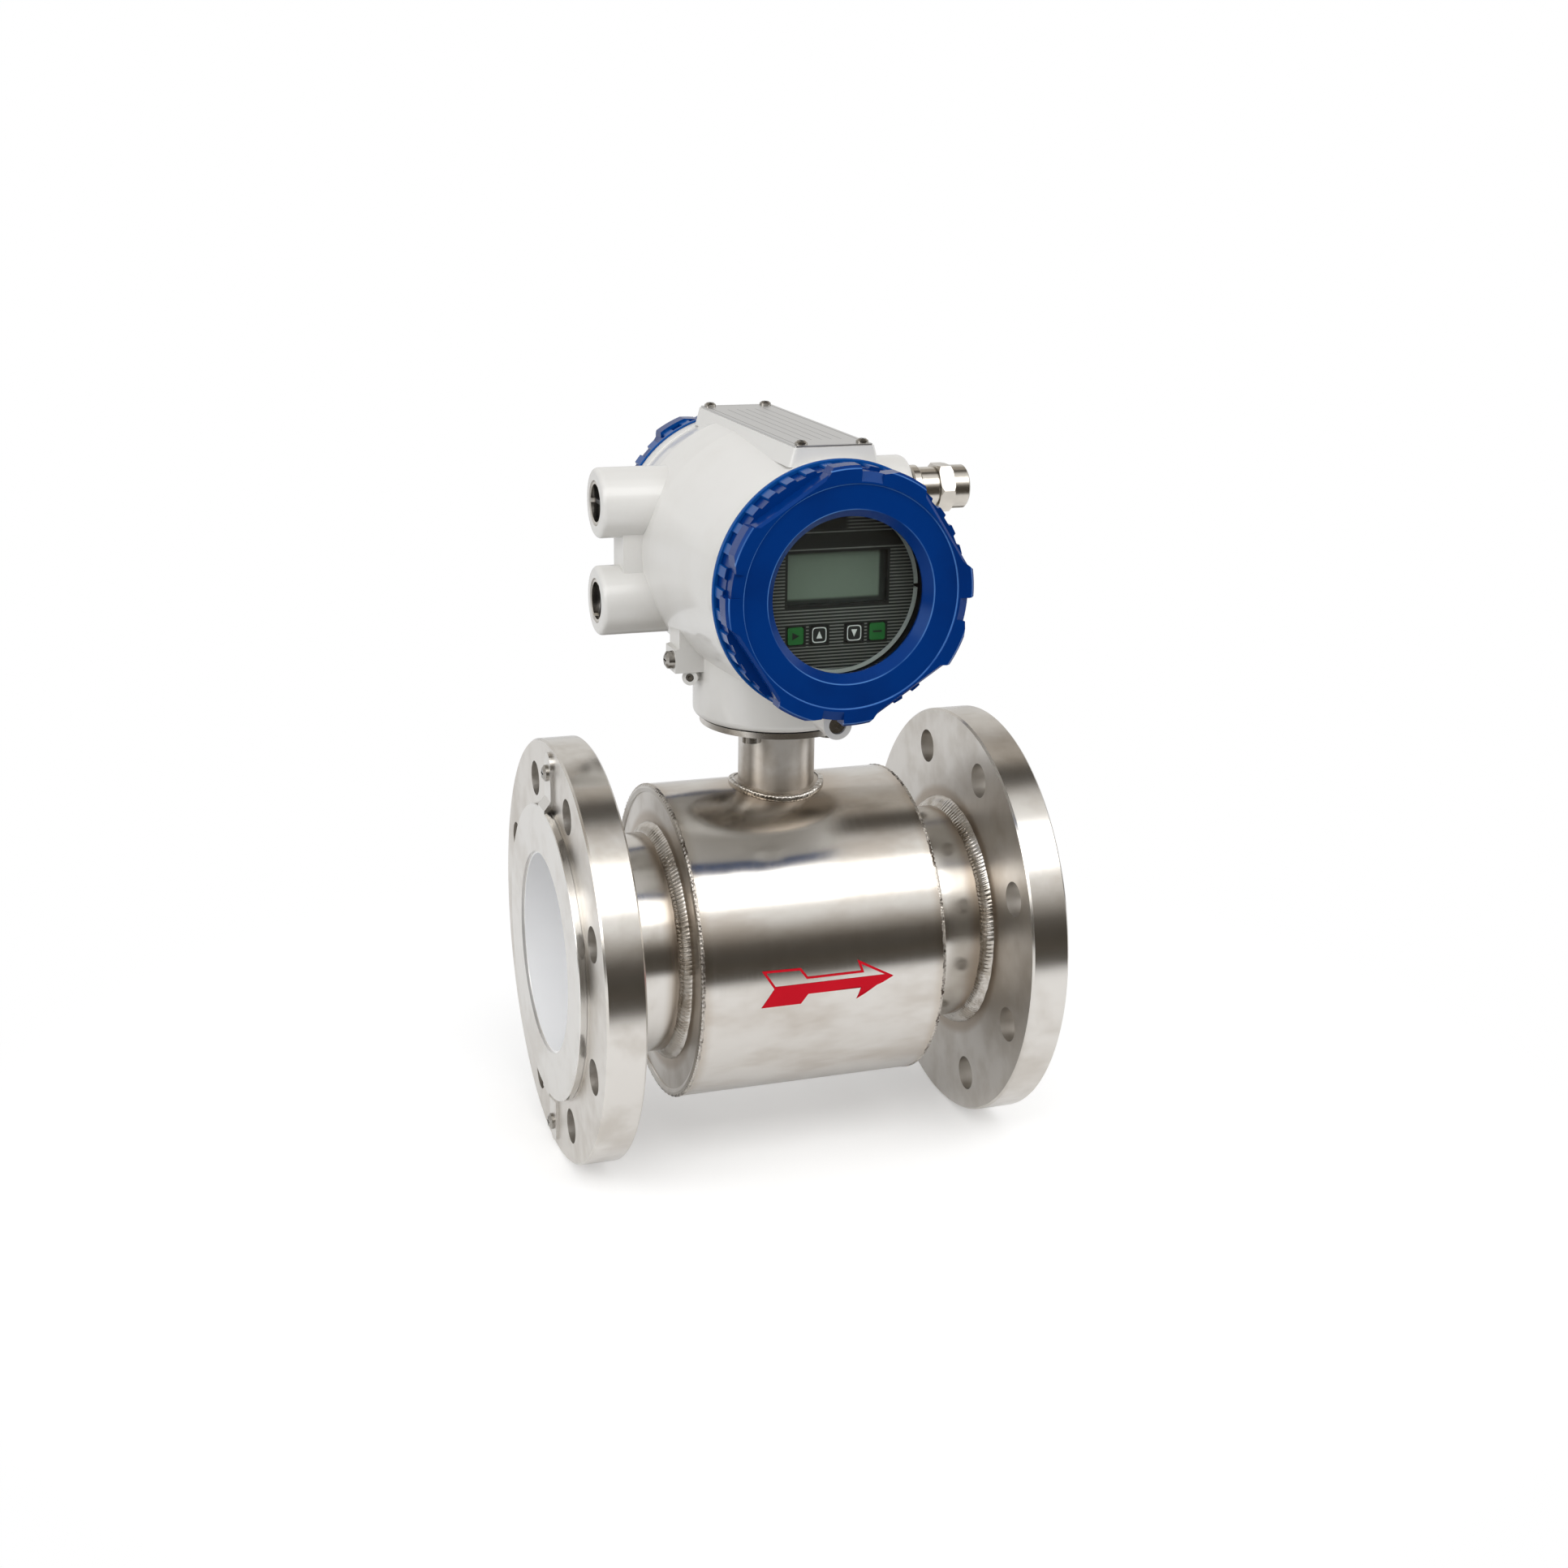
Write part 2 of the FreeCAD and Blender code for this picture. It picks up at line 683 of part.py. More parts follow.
def housing_body():
    """The cast housing: barrel, foot, pad, bosses and lugs, bored for two compartments."""
    body = barrel().fuse([neck(), nameplate_pad(), entry_web(), earth_lug(), lock_lug(),
                          entry_boss(-1, boss_offset, left_boss_end, left_mouth_edge),
                          entry_boss(-1, -boss_offset, left_boss_end, left_mouth_edge),
                          entry_boss(1, right_boss_rise, right_boss_end, right_mouth_edge)])
    front, rear = barrel_hollow()
    foot = cylinder(neck_bore_r, head_height - barrel_bore_r * 0.8 - base_z - neck_floor_t,
                    Vector(mid, 0, base_z + neck_floor_t), axis_z)
    keep = block(Vector(mid - waist_r, partition_y, base_z + neck_floor_t + 8),
                 Vector(mid + waist_r, partition_y + partition_t, head_height))
    wire_way = cylinder(wire_hole_r, neck_floor_t, Vector(mid, 0, base_z), axis_z)
    tools = [front, rear, foot.cut(keep), wire_way]
    for side, height, end in ((-1, boss_offset, left_boss_end), (-1, -boss_offset, left_boss_end),
                              (1, right_boss_rise, right_boss_end)):
        mouth = Vector(mid + side * end, boss_y, head_height + height)
        wide = entry_r if side < 0 else gland_thread_r + weld_gap
        tools.append(cylinder(wide, entry_depth + 1, mouth, axis_x * -side))
        tools.append(cylinder(entry_core_r, end - barrel_r * 0.5, mouth, axis_x * -side))
    for place in base_screw_places():
        bottom = Vector(mid, 0, base_z) + place
        tools.append(cylinder(base_screw_r + weld_gap, base_screw_grip + 1, bottom, axis_z))
    for point in nameplate_screw_points():
        tools.append(cylinder(small_screw_r, small_screw_depth + 1, point, axis_z * -1))
    tools.append(cylinder(earth_core, earth_screw_depth + 1, Vector(mid - lug_x, earth_y, earth_z), axis_x))
    tools.append(lock_bore())
    tools.append(clamp_screw(0.1))
    return body.cut(group(tools)).removeSplitter()


def lock_bore():
    """The counterbored hole for the cover's locking screw."""
    mouth = head + out * barrel_half + Vector(lock_x, 0, -lock_drop)
    wide = cylinder(lock_lug_r * 0.62, 4.0, mouth, out * -1)
    return wide.fuse(cylinder(lock_lug_r * 0.42, lock_length - 3, mouth, out * -1))


def cover_lock_screw():
    """The socket screw in the locking lug."""
    mouth = head + out * barrel_half + Vector(lock_x, 0, -lock_drop)
    shank = cylinder(lock_lug_r * 0.42, lock_length - 4, mouth + out * -1, out * -1)
    cap = cylinder(lock_lug_r * 0.58, 3.0, mouth + out * -1, out * -1)
    return shank.fuse(cap).cut(hexagon(lock_lug_r * 0.5, 2.0, mouth, out * -1, axis_x))


def clamp_screw(gap):
    """The small set screw in the clamping boss, made wider by a gap for its hole."""
    return cylinder(clamp_boss_r * 0.5 + gap, 12.0 + gap, clamp_tip(), clamp_way)


def clamp_set_screw():
    """The set screw with its hexagon socket."""
    body = clamp_screw(0.0)
    return body.cut(hexagon(clamp_boss_r * 0.5, 2.0, clamp_tip(), clamp_way, axis_z))


def nameplate_screw_points():
    """The four corners where the nameplate is screwed down."""
    x = pad_half_width - nameplate_margin - rivet_inset
    front = pad_front + nameplate_margin + rivet_inset
    back = pad_back - nameplate_margin - rivet_inset
    top = head_height + pad_rise
    return [Vector(mid + sx * x, y, top) for sx in (-1, 1) for y in (front, back)]


def nameplate():
    """The plain plate on the pad."""
    top = head_height + pad_rise
    m = nameplate_margin
    body = rounded_block(Vector(mid - pad_half_width + m, pad_front + m, top),
                         Vector(mid + pad_half_width - m, pad_back - m, top + nameplate_t), 1.0, axis_z)
    holes = [cylinder(small_screw_r + 0.1, nameplate_t, p, axis_z) for p in nameplate_screw_points()]
    return body.cut(group(holes))


def nameplate_screws():
    """Four small pan head screws."""
    return group([pan_screw(p, axis_z, small_screw_r, small_screw_depth, small_head_r, small_head_t,
                            nameplate_t) for p in nameplate_screw_points()])


# ---- covers ----------------------------------------------------------------------
def toothed_band():
    """The gripping band: blocks around the rim between the lip and the hub."""
    pitch = 360 / tooth_count
    edges = []
    for k in range(tooth_count):
        a0, a1 = k * pitch, k * pitch + pitch * tooth_share
        a2, a3 = a1 + pitch * 0.06, (k + 1) * pitch - pitch * 0.06
        z = cover_start + lip_t * 0.5
        tip0, tip1 = head_point(z, tooth_tip_r, a0), head_point(z, tooth_tip_r, a1)
        root0, root1 = head_point(z, tooth_root_r, a2), head_point(z, tooth_root_r, a3)
        nxt = head_point(z, tooth_tip_r, (k + 1) * pitch)
        edges.append(Part.Arc(tip0, head_point(z, tooth_tip_r, (a0 + a1) / 2), tip1).toShape())
        edges.append(Part.makeLine(tip1, root0))
        edges.append(Part.Arc(root0, head_point(z, tooth_root_r, (a2 + a3) / 2), root1).toShape())
        edges.append(Part.makeLine(root1, nxt))
    return Part.Face(Part.Wire(edges)).extrude(out * (band_end - cover_start - lip_t * 0.5 + 0.5))


def hub():
    """The hub: four flats that bare the teeth, and between them four stepped lobes."""
    edges = []
    step_r = hub_r - notch_depth
    flat_r = flat_distance / math.cos(math.radians(flat_half))
    z = band_end
    for k in range(4):
        turn = 90 * k
        first = flat_angle - flat_half + turn
        last = flat_angle + flat_half + turn
        lobe = last + 2.5
        spots = [(flat_r, first), (flat_r, last), (hub_r, lobe), (hub_r, notch_from + turn),
                 (step_r, notch_from + turn + 0.5), (step_r, notch_to + turn), (hub_r, ramp_to + turn),
                 (hub_r, first + 90 - 1.5), (flat_r, first + 90)]
        points = [head_point(z, r, a) for r, a in spots]
        for i, (start, end) in enumerate(zip(points, points[1:])):
            if i in (2, 4, 6):
                middle = head_point(z, spots[i][0], (spots[i][1] + spots[i + 1][1]) / 2)
                edges.append(Part.Arc(start, middle, end).toShape())
            else:
                edges.append(Part.makeLine(start, end))
    body = Part.Face(Part.Wire(edges)).extrude(out * (hub_end - band_end))
    flats = [e for e in body.Edges if abs(e.CenterOfMass.y + hub_end) < 0.01
             and e.Curve.TypeId == "Part::GeomLine" and e.Length > flat_distance / 2]
    body = body.makeChamfer(flat_edge, flats).cut(group([lobe_notch(90 * k) for k in range(4)]))
    far = hub_r + 1
    mould = [(band_end - 1, 0), (band_end - 1, far), (hub_end - hub_edge - 1, far),
             (hub_end, hub_r - hub_edge), (hub_end, 0)]
    return body.common(turned(mould, head, out, axis_z))


def lobe_notch(turn):
    """The sloping cut that leaves a step on a lobe."""
    far = hub_r + 4
    drop = notch_drop * (far - notch_inner_r) / (hub_r - notch_inner_r)
    spots = [(hub_end + 1, notch_inner_r), (hub_end, notch_inner_r), (hub_end - drop, far), (hub_end + 1, far)]
    points = [head_point(along, radius, turn + notch_from + 0.5) for along, radius in spots]
    face = Part.Face(Part.makePolygon(points + [points[0]]))
    return face.revolve(head, Vector(0, 1, 0), notch_to - notch_from - 0.5)


def face_recess():
    """The sunk ring on the cover's face."""
    deep = hub_end - face_ring_depth
    profile = [(deep, 0), (deep, face_ring_out), (hub_end + 1, face_ring_out + face_ring_depth),
               (hub_end + 1, 0)]
    return turned(profile, head, out, axis_z)


def oring_seat():
    """The groove behind the lip that takes the O-ring, from the skirt's bore outwards."""
    outer = spigot_r + thread_gap + 2 * oring_r + 0.6
    return tube(outer, spigot_r, oring_groove, head + out * (cover_start - 0.01), out)


def cover_blank():
    """What both covers share: lip, toothed band, hub, and the bore for the spigot."""
    lip = cylinder(lip_r, lip_t, head + out * cover_start, out)
    rim = [e for e in lip.Edges if e.Length > lip_r]
    body = lip.makeChamfer(0.6, rim).fuse([toothed_band(), hub()])
    bore = cylinder(spigot_r + thread_gap, cavity_end - cover_start, head + out * cover_start, out)
    return body, bore


def front_cover():
    """The front cover: a window with a bevel, and inside it a carrier for the glass."""
    body, bore = cover_blank()
    deep = hub_end - face_ring_depth
    bevel_end = deep - bevel_depth
    window = turned([(cover_start, 0), (cover_start, window_r), (bevel_end, window_r),
                     (deep, face_ring_in), (hub_end + 1, face_ring_in), (hub_end + 1, 0)],
                    head, out, axis_z)
    carrier = cylinder(carrier_r, cavity_end - carrier_start + 1, head + out * carrier_start, out)
    pocket = cylinder(glass_r + glass_gap, glass_seat - cover_start, head + out * cover_start, out)
    body = body.cut(bore.cut(carrier)).cut(group([face_recess()]))
    return body.cut(window).cut(pocket).cut(oring_seat()).removeSplitter()


def rear_cover():
    """The blind cover on the terminal side."""
    body, bore = cover_blank()
    deep = hub_end - face_ring_depth
    dish = turned([(deep - rear_dish_depth, 0), (deep - rear_dish_depth, rear_dish_r - rear_dish_depth),
                   (deep, rear_dish_r), (hub_end, rear_dish_r), (hub_end, 0)], head, out, axis_z)
    body = body.cut(bore).cut(face_recess()).cut(dish).cut(oring_seat())
    return to_rear(body.removeSplitter())


def cover_oring():
    """The O-ring behind a cover's lip."""
    radius = spigot_r + thread_gap + 0.3 + oring_r
    along = cover_start + oring_groove - 0.3 - oring_r
    return Part.makeTorus(radius, oring_r, head + out * along, out)


def glass_gasket():
    """The thin gasket in front of the glass."""
    start = glass_seat - glass_gasket_t
    return tube(glass_r, window_r + 0.5, glass_gasket_t, head + out * start, out)


def window_glass():
    """The toughened glass."""
    start = glass_seat - glass_gasket_t - glass_t
    disc = cylinder(glass_r, glass_t, head + out * start, out)
    return disc.makeChamfer(0.5, [e for e in disc.Edges if e.Length > glass_r])


def glass_retainer():
    """The ring that clamps the glass from behind, with two key slots."""
    start = glass_seat - glass_gasket_t - glass_t - retainer_t
    body = tube(glass_r, retainer_bore_r, retainer_t, head + out * start, out)
    for angle in (0, 180):
        spot = head_point(start, (glass_r + retainer_bore_r) / 2, angle)
        body = body.cut(block(spot - Vector(2, 1.2, 2), spot + Vector(2, 1.2, 2)))
    return body


# ---- display ---------------------------------------------------------------------
def key_centres():
    """The four keys, from left to right."""
    z = head_height - key_drop
    return [Vector(mid + x, 0, z) for x in (-key_outer, -key_inner, key_inner, key_outer)]


def upright(centre, half_w, half_h, near, far):
    """A box about a centre in the panel's plane, between two distances from the head's centre."""
    return block(Vector(centre.x - half_w, -far, centre.z - half_h),
                 Vector(centre.x + half_w, -near, centre.z + half_h))


def display_panel():
    """The front panel with its display window and key openings."""
    back = panel_front - panel_t
    body = cylinder(panel_r, panel_t, head + out * back, out)
    middle = Vector(mid, 0, head_height + lcd_rise)
    cuts = [upright(middle, lcd_width / 2, lcd_height / 2, back - 1, panel_front + 1)]
    half_w, half_h = key_width / 2 + key_gap, key_height / 2 + key_gap
    cuts += [upright(centre, half_w, half_h, back - 1, panel_front + 1) for centre in key_centres()]
    return body.cut(group(cuts))


def panel_bezel():
    """The bright ring around the panel, with its locating notch."""
    start = panel_front + bezel_proud - bezel_depth
    body = tube(panel_r + 0.1 + bezel_t, panel_r + 0.1, bezel_depth, head + out * start, out)
    spot = head_point(start, panel_r + bezel_t, 90)
    return body.cut(block(spot - Vector(4, bezel_depth + 1, 1), spot + Vector(4, 1, 1)))


def lcd_module():
    """The display module, standing on the board behind the panel's window."""
    middle = Vector(mid, 0, head_height + lcd_rise)
    return upright(middle, lcd_width / 2 + lcd_margin, lcd_height / 2 + lcd_margin, board_front, lcd_front)


def key_cap(centre):
    """A key: a cap with rounded corners and a flange that keeps it behind the panel."""
    back = panel_front - panel_t - key_lift - key_flange_t
    cap = upright(centre, key_width / 2, key_height / 2, back + key_flange_t / 2, panel_front + key_proud)
    edges = [e for e in cap.Edges if abs(e.tangentAt(e.FirstParameter).y) > 0.9]
    cap = cap.makeFillet(1.2, edges)
    flange_w, flange_h = key_width / 2 + key_flange, key_height / 2 + key_flange
    return cap.fuse(upright(centre, flange_w, flange_h, back, back + key_flange_t))


def key_switches():
    """The four small switches under the keys."""
    top = panel_front - panel_t - key_lift - key_flange_t - key_travel - 0.05
    half = switch_size / 2
    return group([upright(c, half, half, board_front, top) for c in key_centres()])


def display_board():
    """The board that carries the display and the switches."""
    return cylinder(board_r, board_t, head + out * (board_front - board_t), out)


def posts(radius, circle, first, start, end):
    """Four round posts between two distances from the head's centre."""
    return group([cylinder(radius, end - start, head_point(start, circle, first + 90 * k), out)
                  for k in range(4)])


def main_board():
    """The main board in the middle of the front compartment."""
    return cylinder(main_board_r, board_t, head + out * (main_board_front - board_t), out)


def terminal_block():
    """The terminal strip on the wall of the rear compartment, with wire mouths and screw wells."""
    y = partition_y + partition_t
    low = Vector(mid - terminal_width / 2, y, head_height - terminal_height / 2)
    high = Vector(mid + terminal_width / 2, y + terminal_depth, head_height + terminal_height / 2)
    body = block(low, high)
    pitch = terminal_width / terminal_count
    cuts = []
    for k in range(terminal_count):
        x = low.x + pitch * (k + 0.5)
        cuts.append(cylinder(terminal_screw_r + 0.4, 4.0, Vector(x, high.y, head_height + 3), out))
        cuts.append(block(Vector(x - 2.5, y + 6, low.z - 1), Vector(x + 2.5, y + 11, low.z + 6)))
    return body.cut(group(cuts))


def terminal_screws():
    """The clamp screws of the terminal strip."""
    pitch = terminal_width / terminal_count
    y = partition_y + partition_t + terminal_depth - 4.0
    screws = []
    for k in range(terminal_count):
        spot = Vector(mid - terminal_width / 2 + pitch * (k + 0.5), y, head_height + 3)
        body = cylinder(terminal_screw_r, 2.5, spot, Vector(0, 1, 0))
        slot = block(spot + Vector(-3, 1.7, -0.4), spot + Vector(3, 3, 0.4))
        screws.append(body.cut(slot))
    return group(screws)


# ---- small parts -----------------------------------------------------------------
def entry_places():
    """The mouths of the two left entries."""
    return [Vector(mid - left_boss_end, boss_y, head_height + s * boss_offset) for s in (1, -1)]


def plug_bar(start, length, radius, tilt):
    """A bar across a plug, turned about the entry's axis."""
    low = start - Vector(0, plug_slot / 2, radius)
    return block(low, start + Vector(length, plug_slot / 2, radius)).rotate(start, axis_x, tilt)


def entry_plug_rings():
    """The bright threaded ring in each unused entry, slotted for a flat key."""
    rings = []
    outer, inner = entry_r - weld_gap, entry_r - plug_wall
    for mouth, tilt in zip(entry_places(), (90, 30)):
        start = mouth + axis_x * plug_recess
        profile = [(0, inner), (0, outer - plug_edge), (plug_edge, outer), (plug_ring_t, outer),
                   (plug_ring_t, inner)]
        ring = turned(profile, start, axis_x, axis_z)
        rings.append(ring.cut(plug_bar(start - axis_x, 1 + plug_face_drop / 2, entry_r, tilt)))
    return group(rings)


def entry_plug_caps():
    """The black blanking cap in each ring, with a raised bar across it."""
    caps = []
    radius = entry_r - plug_wall - 0.1
    for mouth, tilt in zip(entry_places(), (90, 30)):
        face = mouth + axis_x * (plug_recess + plug_face_drop)
        body = cylinder(radius, plug_ring_t - plug_face_drop - 0.5, face, axis_x)
        round_bar = cylinder(radius, plug_face_drop / 2 + 1, face - axis_x * (plug_face_drop / 2), axis_x)
        bar = plug_bar(face - axis_x * (plug_face_drop / 2), plug_face_drop / 2 + 1, radius, tilt)
        caps.append(body.fuse(bar.common(round_bar)).removeSplitter())
    return group(caps)


def earth_screw():
    """The outside earth screw."""
    tip = Vector(mid - lug_x, earth_y, earth_z)
    return pan_screw(tip, axis_x * -1, earth_core, earth_screw_depth, earth_head_r, earth_head_t,
                     2 * washer_t)


def earth_washers():
    """A flat washer and a spring washer under the earth screw's head."""
    tip = Vector(mid - lug_x, earth_y, earth_z)
    flat = tube(washer_r, earth_core + 0.2, washer_t, tip, axis_x * -1)
    spring = tube(earth_head_r, earth_core + 0.2, washer_t, tip - axis_x * washer_t, axis_x * -1)
    gap = block(tip + Vector(-2 * washer_t - 0.1, -0.5, 0), tip + Vector(-washer_t, 0.5, washer_r))
    return group([flat, spring.cut(gap)])


def gland_mouth():
    """The face of the right entry, where the gland screws in."""
    return Vector(mid + right_boss_end, boss_y, head_height + right_boss_rise)


def gland_washer():
    """The sealing washer between the boss and the gland."""
    return tube(gland_washer_r, gland_thread_r + 0.1, gland_washer_t, gland_mouth(), axis_x)


def gland_body():
    """The gland's body: threaded shank, collar and barrel with a through bore."""
    start = gland_mouth()
    w, c, end = gland_washer_t, gland_washer_t + gland_collar_length, gland_stop
    big = gland_collar_r
    profile = [(-gland_thread_length, gland_bore_r), (-gland_thread_length, gland_thread_r),
               (w, gland_thread_r), (w, big - 0.8), (w + 0.8, big), (c - 0.8, big), (c, big - 0.8),
               (c, gland_barrel_r), (end, gland_barrel_r), (end, gland_bore_r)]
    return turned(profile, start, axis_x, axis_z)


def gland_nut():
    """The gland's nut: hexagon and round end, hollow for the seal."""
    start = gland_mouth() + axis_x * (gland_stop + 0.2)
    hexed = hexagon(gland_nut_af, gland_hex_length, start, axis_x, out)
    corner = gland_nut_af / math.sqrt(3)
    trim = [(0, 0), (0, corner - 1.2), (1.2, corner), (gland_hex_length - 1.2, corner),
            (gland_hex_length, corner - 1.2), (gland_hex_length, 0)]
    hexed = hexed.common(turned(trim, start, axis_x, axis_z))
    whole = gland_hex_length + gland_end_length
    edge = 0.8
    round_end = turned([(gland_hex_length - 1, 0), (gland_hex_length - 1, gland_end_r),
                        (whole - edge, gland_end_r), (whole, gland_end_r - edge), (whole, 0)],
                       start, axis_x, axis_z)
    body = hexed.fuse(round_end)
    seat = cylinder(gland_seal_r + 0.1, gland_seal_length + 0.4, start, axis_x)
    return body.cut(seat).cut(cylinder(gland_mouth_r, whole, start, axis_x))


def gland_seal():
    """The rubber sleeve that grips the cable."""
    start = gland_mouth() + axis_x * (gland_stop + 0.4)
    return tube(gland_seal_r, gland_seal_bore_r, gland_seal_length, start, axis_x)


def build():
    """Every sub-part, by node name."""
    back = panel_front - panel_t
    nodes = {
        "measuring_tube": measuring_tube(),
        "inlet_flange": flange(0, 1),
        "outlet_flange": flange(flange_gap, -1),
        "flow_liner": flow_liner(),
        "inlet_grounding_ring": grounding_ring(True),
        "outlet_grounding_ring": grounding_ring(False),
        "grounding_ring_screws": ring_screws(),
        "coil_housing_shell": coil_housing_shell(),
        "inlet_end_plate": end_plate(shell_start, 1),
        "outlet_end_plate": end_plate(shell_end, -1),
        "upper_pole_shoe": pole_shoe(),
        "lower_pole_shoe": under(pole_shoe()),
        "upper_coil": saddle_coil(),
        "lower_coil": under(saddle_coil()),
        "return_yoke": return_yoke(),
        "front_electrode": electrode(),
        "rear_electrode": to_back(electrode()),
        "electrode_bushes": group([electrode_bush(), to_back(electrode_bush())]),
        "electrode_nuts": group([electrode_nut(), to_back(electrode_nut())]),
        "stem": stem(),
        "stem_plate": stem_plate(),
        "base_gasket": base_gasket(),
        "base_screws": base_screws(),
        "housing_body": housing_body(),
        "nameplate": nameplate(),
        "nameplate_screws": nameplate_screws(),
        "cover_lock_screw": cover_lock_screw(),
        "clamp_set_screw": clamp_set_screw(),
        "front_cover": front_cover(),
        "front_cover_oring": cover_oring(),
        "glass_gasket": glass_gasket(),
        "window_glass": window_glass(),
        "glass_retainer": glass_retainer(),
        "rear_cover": rear_cover(),
        "rear_cover_oring": to_rear(cover_oring()),
        "display_panel": display_panel(),
        "panel_bezel": panel_bezel(),
        "lcd_module": lcd_module(),
        "key_switches": key_switches(),
        "display_board": display_board(),
        "panel_posts": posts(post_r, post_circle, post_first, board_front, back),
        "display_pillars": posts(pillar_r, post_circle, 45, main_board_front, board_front - board_t),
        "main_board": main_board(),
        "board_pillars": posts(pillar_r, pillar_circle, 45, -partition_y, main_board_front - board_t),
        "terminal_block": terminal_block(),
        "terminal_screws": terminal_screws(),
        "entry_plug_rings": entry_plug_rings(),
        "entry_plug_caps": entry_plug_caps(),
        "earth_screw": earth_screw(),
        "earth_washers": earth_washers(),
        "gland_washer": gland_washer(),
        "gland_body": gland_body(),
        "gland_nut": gland_nut(),
        "gland_seal": gland_seal(),
    }
    for name, centre in zip(("menu_key", "up_key", "down_key", "enter_key"), key_centres()):
        nodes[name] = key_cap(centre)
    return nodes


os.makedirs("parts", exist_ok=True)
for node, shape in build().items():
    shape.exportStep(f"parts/{node}.step")
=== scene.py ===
import bpy
import math
import numpy as np
from mathutils import Matrix, Vector

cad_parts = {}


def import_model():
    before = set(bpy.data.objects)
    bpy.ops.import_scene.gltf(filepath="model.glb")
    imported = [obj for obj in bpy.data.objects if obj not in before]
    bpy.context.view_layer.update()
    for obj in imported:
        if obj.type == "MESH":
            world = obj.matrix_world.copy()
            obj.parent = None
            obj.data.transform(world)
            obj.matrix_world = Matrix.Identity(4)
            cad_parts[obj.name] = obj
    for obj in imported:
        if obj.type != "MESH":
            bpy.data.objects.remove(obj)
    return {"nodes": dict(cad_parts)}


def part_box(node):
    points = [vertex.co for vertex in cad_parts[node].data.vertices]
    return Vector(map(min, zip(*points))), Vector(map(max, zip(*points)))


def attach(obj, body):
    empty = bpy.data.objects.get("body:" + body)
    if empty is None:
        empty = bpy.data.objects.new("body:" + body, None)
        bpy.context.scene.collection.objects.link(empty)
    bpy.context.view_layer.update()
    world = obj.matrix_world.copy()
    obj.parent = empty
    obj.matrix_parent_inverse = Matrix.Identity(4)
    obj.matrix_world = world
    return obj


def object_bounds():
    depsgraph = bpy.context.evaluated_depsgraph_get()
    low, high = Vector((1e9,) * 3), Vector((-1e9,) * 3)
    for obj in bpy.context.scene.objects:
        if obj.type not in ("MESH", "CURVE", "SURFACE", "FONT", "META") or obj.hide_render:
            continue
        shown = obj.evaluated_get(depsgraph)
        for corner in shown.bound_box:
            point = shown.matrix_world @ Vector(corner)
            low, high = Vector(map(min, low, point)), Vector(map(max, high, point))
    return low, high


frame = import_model()
cad_low, cad_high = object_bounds()

# An electromagnetic flow meter. Metres, +X along the pipe, +Z up, the display faces -Y.

# ---- places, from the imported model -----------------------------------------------
shell_low, shell_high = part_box("coil_housing_shell")
_, tube_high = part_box("measuring_tube")
stem_low, stem_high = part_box("stem")
_, inlet_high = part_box("inlet_flange")
outlet_low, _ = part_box("outlet_flange")
panel_low, panel_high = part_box("display_panel")
lcd_low, lcd_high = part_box("lcd_module")
plate_low, plate_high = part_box("nameplate")
middle_x = (shell_low.x + shell_high.x) / 2
shell_r = shell_high.z
tube_r = tube_high.z
stem_r = (stem_high.y - stem_low.y) / 2
head_z = (panel_low.z + panel_high.z) / 2
lcd_z = (lcd_low.z + lcd_high.z) / 2
key_names = ("menu_key", "up_key", "down_key", "enter_key")

# ---- sizes that the finishes and the welds follow ----------------------------------
weld_leg = 0.005                          # the fillet welds on the pipe
weld_pools, stem_pools = 170, 74          # ripples round a pipe weld and the stem's weld
rim_lumps = 210                           # lumps round the bead on a rim of the shell
bolt_circle_r, bolt_hole_r = 0.090, 0.0094
bore_r = 0.0505                           # the casting's two mouths
barrel_r, barrel_y = 0.0596, 0.0743       # the casting's inner room
spigot_r, spigot_y = 0.05445, 0.08175     # under the covers' threads
thread_pitch = 0.0015
cover_face_y, cover_skirt_y = 0.1033, 0.0951
cover_skirt_r = 0.0595
cover_edges = (0.0413, 0.0530, 0.0601)    # the turned edges on a cover's face
stripe_pitch = 0.0016                     # the panel's printed stripes
plate_rule_pitch = 0.005                  # the nameplate's ruled lines

# ---- colours used more than once -----------------------------------------------------
stem_pale = (0.68, 0.655, 0.62)
heat_brown = (0.43, 0.36, 0.285)
white = (1, 1, 1, 1)


# ---- node helpers ----------------------------------------------------------------
def shader_of(name, colour, metallic=0.0, roughness=0.5, **fixed):
    """A new material and its shader, with the plain values set on the shader itself."""
    material = bpy.data.materials.new(name)
    material.use_nodes = True
    shader = material.node_tree.nodes["Principled BSDF"]
    shader.inputs["Base Color"].default_value = (*colour, 1.0)
    shader.inputs["Metallic"].default_value = metallic
    shader.inputs["Roughness"].default_value = roughness
    for label, value in fixed.items():
        shader.inputs[label.replace("_", " ")].default_value = value
    return material, shader


def add(owner, kind, links=None, **values):
    """A node of a kind in a material or a world, with its properties set and its inputs linked
    or given values."""
    node = owner.node_tree.nodes.new(kind)
    for label, value in values.items():
        setattr(node, label, value)
    for label, source in (links or {}).items():
        socket = node.inputs[label]
        if isinstance(source, bpy.types.NodeSocket):
            owner.node_tree.links.new(source, socket)
        else:
            socket.default_value = source
    return node


def place(material, scale=(1, 1, 1), shift=(0, 0, 0)):
    """Object coordinates, scaled and shifted."""
    source = add(material, "ShaderNodeTexCoord")
    moved = add(material, "ShaderNodeMapping", {
        "Vector": source.outputs["Object"], "Location": shift, "Scale": scale})
    return moved.outputs["Vector"]


